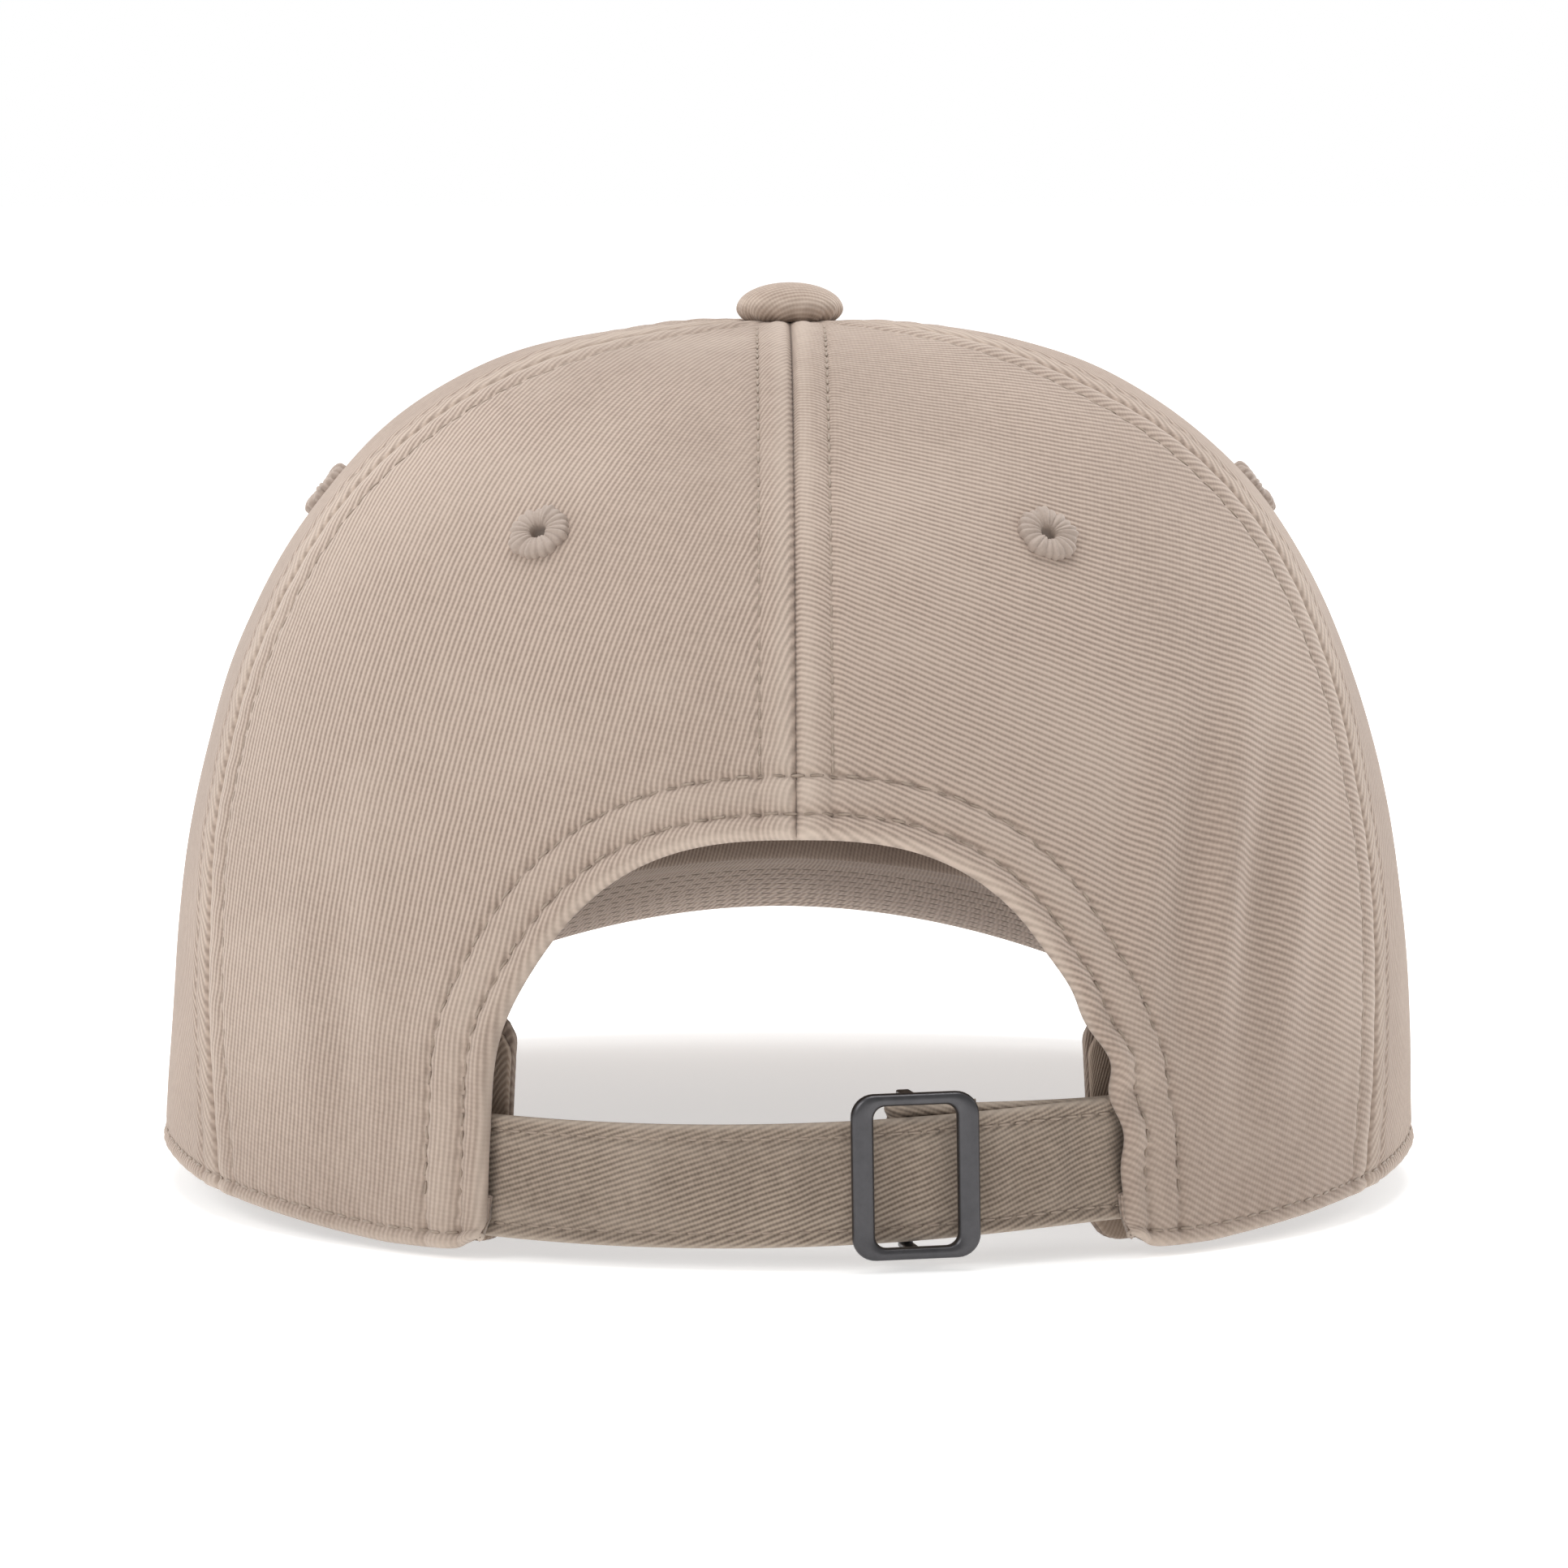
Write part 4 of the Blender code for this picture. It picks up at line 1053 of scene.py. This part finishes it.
def bandLayer(node, extra, top, material, puff):
    first, last = bandEnds()
    height, a = rimmed(top - band["gap"], 0.0006, 40)
    along, b = rimmed(1.0, 0.0012, 420)
    along = along - band["crowding"] * np.sin(2 * np.pi * along)
    theta = (first + (last - first) * along)[:, None] + 0 * height
    rise = band["gap"] + height[None, :] + 0 * theta
    # both corners at each end are rounded
    near = np.clip(1 - np.minimum(along, 1 - along) * band["length"] / band["corner"], 0, 1)[:, None]
    cut = band["corner"] * (1 - np.sqrt(1 - near**2))
    rise = rise * (1 - 1.7 * cut / top) + 0.8 * cut
    share = shareOfT(theta, tAtHeight(theta, hemHeight(theta) + rise))
    depth = bandInset(theta) + extra + band["layer"] / 2
    ripple = np.sin(along * band["length"] / band["ripplePitch"] * 2 * np.pi)[:, None]
    ripple = band["ripple"] * ripple * (height / top)[None, :] ** 2
    points = under(theta, share, depth - ripple * mm * 0.4)
    s = height[None, :] / mm + 0 * theta
    edgeRow = 0.16 * (bump(s, top / mm - 3.0, 0.5) + bump(s, 3.0, 0.5))
    face = (band["layer"] / 2 * np.ones_like(s) + puff * mm * (0.25 - edgeRow)) * a[None, :] * b[:, None]
    back = band["layer"] / 2 * a[None, :] * b[:, None]
    weave = turnWeave(along[:, None] * band["length"] + 0 * s, height[None, :] + 0 * theta, 62)
    wear = 0.5 * bump(s, top / mm, 0.8) + 0.4 * (1 - b[:, None]) + 0 * s
    # pillow's outer side faces away from the head, so the sweatband's show side is its inner one
    made = pillow(node + "_cloth", points, weave, back, face, wear)
    finish(made, "cap", [node], material)


bandLayer("sweatband_backing", 0.0, band["height"] - band["backingShort"], cloth["tape"], 0.0)
# the sweatband takes the darker twill copy as painted shade inside the crown
bandLayer("sweatband", band["layer"] + band["gap"], band["height"], cloth["paintedShade"], 1.0)
print("linings done")

# Visor: two cloth covers sewn through a board in rows that follow its edge.
visor = dict(
    end=65.0, reach=0.163, slope=15.0, arch=0.105, flare=0.007, fullness=2.5,
    cover=0.0008, board=0.0020, rowPitch=6.5, rows=8, rowDent=0.30, rowPuff=0.18,
    ends=0.985, tip=0.9985, allowance=0.0050, allowanceHalf=0.00008, topDepth=0.0019, underDepth=0.0021,
    underPlump=1.8, dentWidth=0.6, edgeFade=3.0, rootInset=0.0009, easeFrom=0.8, knee=0.75,
)
stack = visor["board"] + 2 * visor["cover"] + 2 * band["gap"]
visorEnd = math.radians(visor["end"])
endPoint = crownPoint(visorEnd, 0.0)


def visorOutline(share):
    turn = np.asarray(share, float) * np.pi / 2
    power = 2 / visor["fullness"]
    half = endPoint[0] + visor["flare"] * np.sin(2 * np.abs(turn))
    x = np.sign(turn) * np.abs(np.sin(turn)) ** power * half
    return x, endPoint[1] - (endPoint[1] - crownY + visor["reach"]) * np.clip(np.cos(turn), 0, 1) ** power


def edgeHeight(share):
    x, y = visorOutline(share)
    drop = visor["arch"] - np.sqrt(np.maximum(visor["arch"] ** 2 - x * x, 0))
    return (y - crownY + visor["reach"]) * math.tan(math.radians(visor["slope"])) - drop


visorLift = -float(np.min(edgeHeight(np.arange(85) / 100)))


def visorUnderside(share, along):
    share, along = np.broadcast_arrays(np.asarray(share, float), np.asarray(along, float))
    hemPoint = crownPoint(share * visorEnd, 0.0)
    root = hemPoint - crownNormal(share * visorEnd, 0.002 + 0 * share) * visor["rootInset"]
    root[..., 2] = hemPoint[..., 2] - band["gap"] - stack
    x, y = visorOutline(share)
    height = visorLift + edgeHeight(share)
    ease = np.clip((np.abs(share) - visor["easeFrom"]) / (1 - visor["easeFrom"]), 0, 1) ** 2
    height = height + (endPoint[2] - band["gap"] - stack - visorLift - float(edgeHeight(1.0))) * ease
    return root + (np.stack([x, y, height], -1) - root) * along[..., None]


def visorSurface(share, along, level, relief=0.0):
    step = 0.002
    across = visorUnderside(share + step, along) - visorUnderside(share - step, along)
    outward = visorUnderside(share, along + step) - visorUnderside(share, along - step)
    up = unit(np.cross(outward, across), 1e-12)
    return visorUnderside(share, along) + up * (np.asarray(level) + relief)[..., None], up


def ruleLength(share):
    return np.linalg.norm(visorUnderside(share, 1.0) - visorUnderside(share, 0.0), axis=-1)


def visorRelief(fromEdge):
    # Heights in metres at these distances in millimetres from the edge.
    row = fromEdge / visor["rowPitch"]
    near = np.abs(row - np.round(row)) * visor["rowPitch"]
    used = (np.round(row) >= 1) & (np.round(row) <= visor["rows"])
    dent = np.where(used, swell(near, -visor["rowDent"], 0, visor["dentWidth"]), 0)
    puff = visor["rowPuff"] * np.cos(2 * np.pi * row + np.pi)
    return (dent + puff) * mm * np.clip(fromEdge / visor["edgeFade"], 0, 1)


def seamAllowance(share, level, depth):
    # Each cover runs up behind the panels' turned hem, pressed thin, and bends out to the visor's root.
    theta = share * visorEnd + np.zeros((1, 6))
    rise = np.linspace(visor["allowance"], band["gap"], 6)[None, :] + 0 * theta
    upper = under(theta, shareOfT(theta, tAtHeight(theta, hemHeight(theta) + rise)), depth)
    root, _ = visorSurface(share, 0 * share, level + 0 * share)
    foot = upper[:, -1:]
    kneeHeight = visor["knee"] * root[..., 2:] + (1 - visor["knee"]) * foot[..., 2:]
    knee = np.concatenate([foot[..., :2], kneeHeight], -1)
    bend = np.linspace(0, 1, 9)[None, 1:-1, None]
    curve = (1 - bend) ** 2 * foot + 2 * bend * (1 - bend) * knee + bend**2 * root
    return np.concatenate([upper, curve], 1)


def visorCover(node, level, upward, material, wrap, depth):
    tips = visor["ends"] + (visor["tip"] - visor["ends"]) * np.sin(np.linspace(0, np.pi / 2, 9)[1:])
    share = np.concatenate([-tips[::-1], np.linspace(-visor["ends"], visor["ends"], 212), tips])[:, None]
    rule = ruleLength(share)
    longest = np.maximum(rule, 0.004)
    rollRadius = stack / 2 - visor["cover"] / 2
    along = np.linspace(0, 1, 130)[None, :] * (1 - rollRadius / longest)
    fromEdge = rule * (1 - along) / mm
    height = level + visorRelief(fromEdge) * upward
    if wrap:
        turn = np.radians(np.linspace(8, 168, 15))[None, :]
        along = np.concatenate([along, 1 - rollRadius / longest * (1 - np.sin(turn))], 1)
        height = np.concatenate([height, stack / 2 + rollRadius * np.cos(turn) + 0 * share], 1)
    # the covers close on each other at the visor's two pointed ends
    towardsTip = np.clip((np.abs(share) - visor["ends"]) / (visor["tip"] - visor["ends"]), 0, 1)
    height = stack / 2 + (height - stack / 2) * np.sqrt(1 - towardsTip**2)
    points, _ = visorSurface(share + 0 * along, along, height)
    turnedUp = seamAllowance(share, height[:, :1], depth)
    points = np.concatenate([turnedUp, points], 1)
    rootColumn = turnedUp.shape[1]
    s = np.concatenate([0 * share, np.cumsum(np.linalg.norm(np.diff(points, axis=1), axis=-1), 1)], 1)
    s = s - s[:, rootColumn:rootColumn + 1]
    half = visor["cover"] / 2 * np.ones_like(s)
    half[:, :rootColumn] = visor["allowanceHalf"]
    swelling = (visor["cover"] / 2 - visor["allowanceHalf"]) * np.linspace(0, 1, 9)[1:-1]
    half[:, rootColumn - len(swelling):rootColumn] += swelling
    half[:, 0] = half[:, -1] = 0
    half[0] = half[-1] = 0
    wear = 0.55 * bump(rule / mm - s / mm, 0.0, 1.6) if wrap else 0 * s
    weave = turnWeave(share * 0.15 + 0 * s, s, 70)
    made = pillow(node + "_cloth", points, weave, half, half, wear, facing=(0, 0, 1))
    return finish(made, "cap", [node], material)


coverLevel = visor["cover"] / 2
topLevel = stack - visor["cover"] / 2
visorCover("visor_top_cover", topLevel, 1, cloth["panel"], True, visor["topDepth"])
# the under cover takes the darker twill copy as painted shade under the visor
visorCover("visor_under_cover", coverLevel, -1, cloth["paintedShade"], False, visor["underDepth"])

for label, level, upward in (("top", stack, 1), ("under", 0.0, -1)):
    shape = bmesh.new()
    for row in range(1, visor["rows"] + 1):
        distance = row * visor["rowPitch"]
        share = np.linspace(-0.97, 0.97, 500)
        share = share[ruleLength(share) / mm > distance + 3]
        along = 1 - distance * mm / ruleLength(share)
        points, up = visorSurface(share, along, level - upward * visor["rowDent"] * mm)
        addStitches(shape, points, up * upward, 1.0 if upward > 0 else visor["underPlump"])
    # the underside's stitches take the darker thread as painted shadow
    thread = cloth["thread"] if upward > 0 else cloth["paintedShadowThread"]
    finish(toObject(f"visor_{label}_stitching", shape), "cap", [], thread)
print("visor done")

# Strap, tab and buckle lie on circles round one tilted axis.
strap = dict(
    width=0.016, thick=0.0014, tabThick=0.0012, tilt=0.9, leftReach=46.0, rightReach=49.0, height=0.0109,
    centreY=0.044555, outer=0.08154, tabOuter=0.07974, tabInner=0.07854, barRadius=0.07734,
    buckleAngle=10.4, tabLength=0.069, tabReturn=0.010, row=1.9, ripple=0.34,
    sag=1.3, tabLift=1.0, sagAt=-7.0, sagFrom=36.0, rippleLength=8.7, drift=1.1, driftLength=17.0,
    dent=(0.30, 0.42), dentPitch=2.45, dentPull=0.4, edgeRoll=(0.22, 0.9, 0.65), inner=(0.08, 3.8, 1.2),
)
strapTilt = Matrix.Rotation(math.radians(strap["tilt"]), 4, "Y")
strapFrame = Matrix.Translation((0, strap["centreY"], strap["height"])) @ strapTilt


def onArc(radius, angle, height):
    local = np.stack([-radius * np.sin(angle), radius * np.cos(angle), height + 0 * angle], -1)
    turned = np.array(strapFrame.to_3x3())
    return local @ turned.T + np.array(strapFrame.translation)


def webbing(node, body, line, thick, rippled, drop):
    # line gives (radius, angle) along the strap; the cloth is folded in at both edges.
    lengths = lengthAlong(np.stack([line[0] * np.sin(line[1]), line[0] * np.cos(line[1])], -1))
    across, a = rimmed(strap["width"], 0.0006, 44)
    where, b = rimmed(lengths[-1], 0.0005, rippled)
    radius = np.interp(where, lengths, line[0])[:, None] + 0 * across
    angle = np.interp(where, lengths, line[1])[:, None] + 0 * across
    d = across[None, :] / mm + 0 * radius
    fromRim = np.minimum(d, strap["width"] / mm - d)
    along = where[:, None] / mm + 0 * radius
    drift = strap["drift"] * np.sin(along / strap["driftLength"])
    wave = strap["ripple"] * np.sin(along / strap["rippleLength"] * 2 * np.pi + drift)
    wave = wave * np.sin(d / (strap["width"] / mm) * np.pi)
    wave = wave + 0.10 * np.sin(along / 3.3 + d / 2)
    sag = drop * np.clip(1 - ((np.degrees(angle) - strap["sagAt"]) / strap["sagFrom"]) ** 2, 0, 1) ** 1.5
    points = onArc(radius, angle, strap["width"] / 2 - across[None, :] - sag * mm)
    size, width = strap["dent"]
    pull = 1 + strap["dentPull"] * np.cos(2 * np.pi * along / strap["dentPitch"])
    dent = swell(fromRim, size, strap["row"], width) * pull
    puff = swell(fromRim, *strap["edgeRoll"]) + swell(fromRim, *strap["inner"]) - 0.05
    face = (thick / 2 + (puff - dent + wave) * mm) * a[None, :] * b[:, None]
    back = (thick / 2 + 0.2 * (puff - dent) * mm) * a[None, :] * b[:, None]
    weave = turnWeave(along * mm, -across[None, :] + 0 * radius, 20)
    # paler folded edges: rubbed wear, and a painted highlight where the folds catch the light
    wear = 0.6 * bump(fromRim, 0.1, 0.5) + 0.1 * bump(fromRim, 3.2, 1.0)
    made = pillow(node + "_cloth", points, weave, face, back, wear)
    finish(made, body, [node], cloth["strap"])
    shape = bmesh.new()
    for edge in (strap["row"], strap["width"] / mm - strap["row"]):
        column = int(np.argmin(np.abs(across / mm - edge)))
        out = points[:, column] - np.array(strapFrame.translation)
        out[:, 2] = 0
        out = unit(out)
        addStitches(shape, points[3:-3, column] + out[3:-3] * face[3:-3, column][:, None], out[3:-3])
    finish(toObject(node + "_stitching", shape), body, [], cloth["thread"])


strapAngles = np.radians(np.linspace(-strap["leftReach"], strap["rightReach"], 260))
strapLine = (strap["outer"] - strap["thick"] / 2 + 0 * strapAngles, strapAngles)
webbing("adjusting_strap", "cap", strapLine, strap["thick"], 420, strap["sag"])


def tabLine():
    middle = (strap["tabOuter"] + strap["tabInner"]) / 2
    bend = middle - strap["barRadius"]
    at = math.radians(strap["buckleAngle"])
    longAngles = at + strap["tabLength"] / middle * np.linspace(1, 0, 90)[:-1]
    turn = np.linspace(0, np.pi, 24)
    loopOut = strap["barRadius"] + bend * np.cos(turn)
    loopAlong = -bend * np.sin(turn)
    lower = strap["barRadius"] - bend
    shortAngles = at + strap["tabReturn"] / lower * np.linspace(0, 1, 20)[1:]
    loopRadius = np.hypot(loopOut, loopAlong)
    radius = np.concatenate([middle + 0 * longAngles, loopRadius, lower + 0 * shortAngles])
    angle = np.concatenate([longAngles, at + np.arctan2(loopAlong, loopOut), shortAngles])
    return radius, angle


webbing("buckle_tab", "tab", tabLine(), strap["tabThick"], 230, -strap["tabLift"])
print("straps done")

# Buckle: a cast frame with softened edges, and a bar on two lugs behind the strap.
buckle = dict(
    width=0.0167, height=0.0214, window=0.0182, side=0.0029, corner=0.0030, windowCorner=0.0016,
    thick=0.0020, edge=0.00085, inner=0.08304, bar=0.0009, lug=0.0018, lugHeight=0.00075, lugClear=0.00035,
    cornerSteps=8, crowned=0.00012, barOver=0.0018, softened=0.00025,
)


def roundedLoop(width, height, corner):
    loop = []
    for quarter, (sx, sz) in enumerate(((1, 1), (-1, 1), (-1, -1), (1, -1))):
        for step in range(buckle["cornerSteps"] + 1):
            turn = math.pi / 2 * (quarter + step / buckle["cornerSteps"])
            x = sx * (width / 2 - corner) + corner * math.cos(turn)
            loop.append((x, sz * (height / 2 - corner) + corner * math.sin(turn)))
    return np.array(loop + loop[:1])


def buckleSection():
    # (share from the outer to the inner edge, height over the plate's middle), all the way round.
    turn = np.linspace(0, np.pi / 2, 6)
    e = buckle["edge"]
    quarter = [(e * (1 - math.sin(a)), buckle["thick"] / 2 - e * (1 - math.cos(a))) for a in turn[::-1]]
    wide = buckle["side"]
    top = [(w / wide, h) for w, h in quarter]
    section = top + [(0.5, buckle["thick"] / 2 + buckle["crowned"])] + [(1 - w, h) for w, h in top[::-1]]
    return section + [(w, -h) for w, h in section[::-1]] + section[:1]


at = math.radians(strap["buckleAngle"])
pivot = strapFrame @ Matrix.Rotation(at, 4, "Z") @ Matrix.Translation((0, strap["barRadius"], 0))
plateOut = buckle["inner"] - strap["barRadius"] + buckle["thick"] / 2
outerLoop = roundedLoop(buckle["width"], buckle["height"], buckle["corner"])
windowWidth = buckle["width"] - 2 * buckle["side"]
innerLoop = roundedLoop(windowWidth, buckle["window"], buckle["windowCorner"])
section = np.array(buckleSection())


def placeBuckle(columns, rows):
    w = section[:, 0][:, None, None]
    flat = outerLoop[None] * (1 - w) + innerLoop[None] * w
    local = np.stack([flat[..., 0], plateOut + section[:, 1][:, None] + 0 * flat[..., 0], flat[..., 1]], -1)
    turned = np.array(pivot.to_3x3())
    return local @ turned.T + np.array(pivot.translation), flat, 0 * flat[..., 0]


made = gridPiece("buckle_casting", len(outerLoop) - 1, len(section) - 1, placeBuckle, closed=True)
shape = bmesh.new()
shape.from_mesh(made.data)
extra = bmesh.new()
bmesh.ops.create_cone(
    extra, cap_ends=True, segments=24, radius1=buckle["bar"], radius2=buckle["bar"],
    depth=buckle["window"] + buckle["barOver"],
)
for sign in (1, -1):
    middleZ = sign * (buckle["window"] / 2 + buckle["lugClear"] + buckle["lugHeight"] / 2)
    size = Matrix.Diagonal((buckle["lug"], plateOut + buckle["bar"], buckle["lugHeight"], 1))
    spot = Matrix.Translation((0, (plateOut - buckle["bar"]) / 2, middleZ))
    bmesh.ops.create_cube(extra, size=1.0, matrix=spot @ size)
sharp = [edge for edge in extra.edges if edge.calc_face_angle(0) > 1.0]
bmesh.ops.bevel(
    extra, geom=sharp, offset=buckle["softened"], affect="EDGES", segments=3, profile=0.5, material=-1,
)
bmesh.ops.transform(extra, matrix=pivot, verts=extra.verts)
addShape(shape, extra)
shape.to_mesh(made.data)
shape.free()
made.data.shade_smooth()
cloth["metal"] = gunmetal("plated_zinc")
finish(made, "buckle", ["buckle_frame"], cloth["metal"])
print("buckle done")

# The frame's own nodes that stay: each gets the finish of its material.
carried = dict(
    button_shell=plainSheet("pressed_steel", "#8d8c88", "#a3a29d", 0.38, 1.0),
    button_back=plainSheet("pressed_steel_washer", "#8d8c88", "#a3a29d", 0.42, 1.0),
    visor_board=plainSheet("extruded_polyethylene", "#d9d6cd", "#e6e3da", 0.5),
)
for node, material in carried.items():
    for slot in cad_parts[node].material_slots:
        slot.material = material

# Studio: a pale table glowing as painted light, dimmer near the cap as painted shade, a white surround, a key
# light at the left, one overhead and two rim lights.
studio = dict(
    floor="#d9d9d8", nearGlow=0.55, farGlow=0.74, glowFrom=0.17, glowTo=0.42, surround="#ffffff",
    ambient=0.56, floorSize=40.0, floorDrop=0.0012,
)
shape = bmesh.new()
bmesh.ops.create_grid(shape, x_segments=1, y_segments=1, size=studio["floorSize"] / 2)
bmesh.ops.translate(shape, verts=shape.verts, vec=(0, 0, -studio["floorDrop"]))
floor = toObject("studio_floor", shape)
floorMaterial, floorTree, floorShader = newMaterial("glowing_table_painted_light", 0.95)
floorShader.inputs["Base Color"].default_value = linear(studio["floor"])
floorShader.inputs["Emission Color"].default_value = linear(studio["surround"])
# painted light: the table glows of itself, dimmer near the cap as a painted shade under and round it, and a
# little more towards the rim of the table
place = addNode(floorTree, "ShaderNodeTexCoord")
reach = addNode(
    floorTree, "ShaderNodeVectorMath", {"operation": "LENGTH"}, {}, {0: place.outputs["Object"]},
)
paintedGlow = addNode(
    floorTree, "ShaderNodeMapRange", {"interpolation_type": "SMOOTHSTEP"},
    {"From Min": studio["glowFrom"], "From Max": studio["glowTo"], "To Min": studio["nearGlow"],
     "To Max": studio["farGlow"]},
    {"Value": reach.outputs["Value"]},
)
floorTree.links.new(paintedGlow.outputs["Result"], floorShader.inputs["Emission Strength"])
floor.data.materials.append(floorMaterial)

world = bpy.data.worlds.new("surround")
world.use_nodes = True
sky = world.node_tree.nodes["Background"]
sky.inputs["Color"].default_value = linear(studio["surround"])
rays = addNode(world.node_tree, "ShaderNodeLightPath")
glow = addNode(
    world.node_tree, "ShaderNodeMapRange", {}, {"To Min": studio["ambient"], "To Max": 1.0},
    {"Value": rays.outputs["Is Camera Ray"]},
)
world.node_tree.links.new(glow.outputs["Result"], sky.inputs["Strength"])
bpy.context.scene.world = world
bpy.context.scene.view_settings.view_transform = "Standard"

lights = dict(
    key=((1.0, 0.95, 1.0), 0.8, 6.9),
    overhead=((0.0, -0.2, 1.6), 1.2, 18.5),
    rimLeft=((1.3, -0.75, 0.55), 0.8, 7.0),
    rimRight=((-1.3, -0.85, 0.6), 0.8, 10.0),
)
for name, (place, size, watts) in lights.items():
    light = bpy.data.lights.new(name, "AREA")
    light.shape = "DISK"
    light.size = size
    light.energy = watts
    lamp = bpy.data.objects.new(name, light)
    lamp.location = place
    lamp.rotation_euler = (Vector((0, crownY, 0.05)) - Vector(place)).to_track_quat("-Z", "Y").to_euler()
    bpy.context.scene.collection.objects.link(lamp)

camera = dict(distance=1.0, elevation=5.0, azimuth=0.5, aimSide=0.0008, aimHeight=0.0531, lens=163.98)
lens = bpy.data.cameras.new("camera")
lens.lens = camera["lens"]
eye = bpy.data.objects.new("camera", lens)
rise = math.radians(camera["elevation"])
swing = math.radians(camera["azimuth"])
aim = Vector((camera["aimSide"], crownY, camera["aimHeight"]))
flat = math.cos(rise)
outward = Vector((flat * math.sin(swing), flat * math.cos(swing), math.sin(rise)))
eye.location = aim + outward * camera["distance"]
eye.rotation_euler = (aim - eye.location).to_track_quat("-Z", "Y").to_euler()
bpy.context.scene.collection.objects.link(eye)
bpy.context.scene.camera = eye
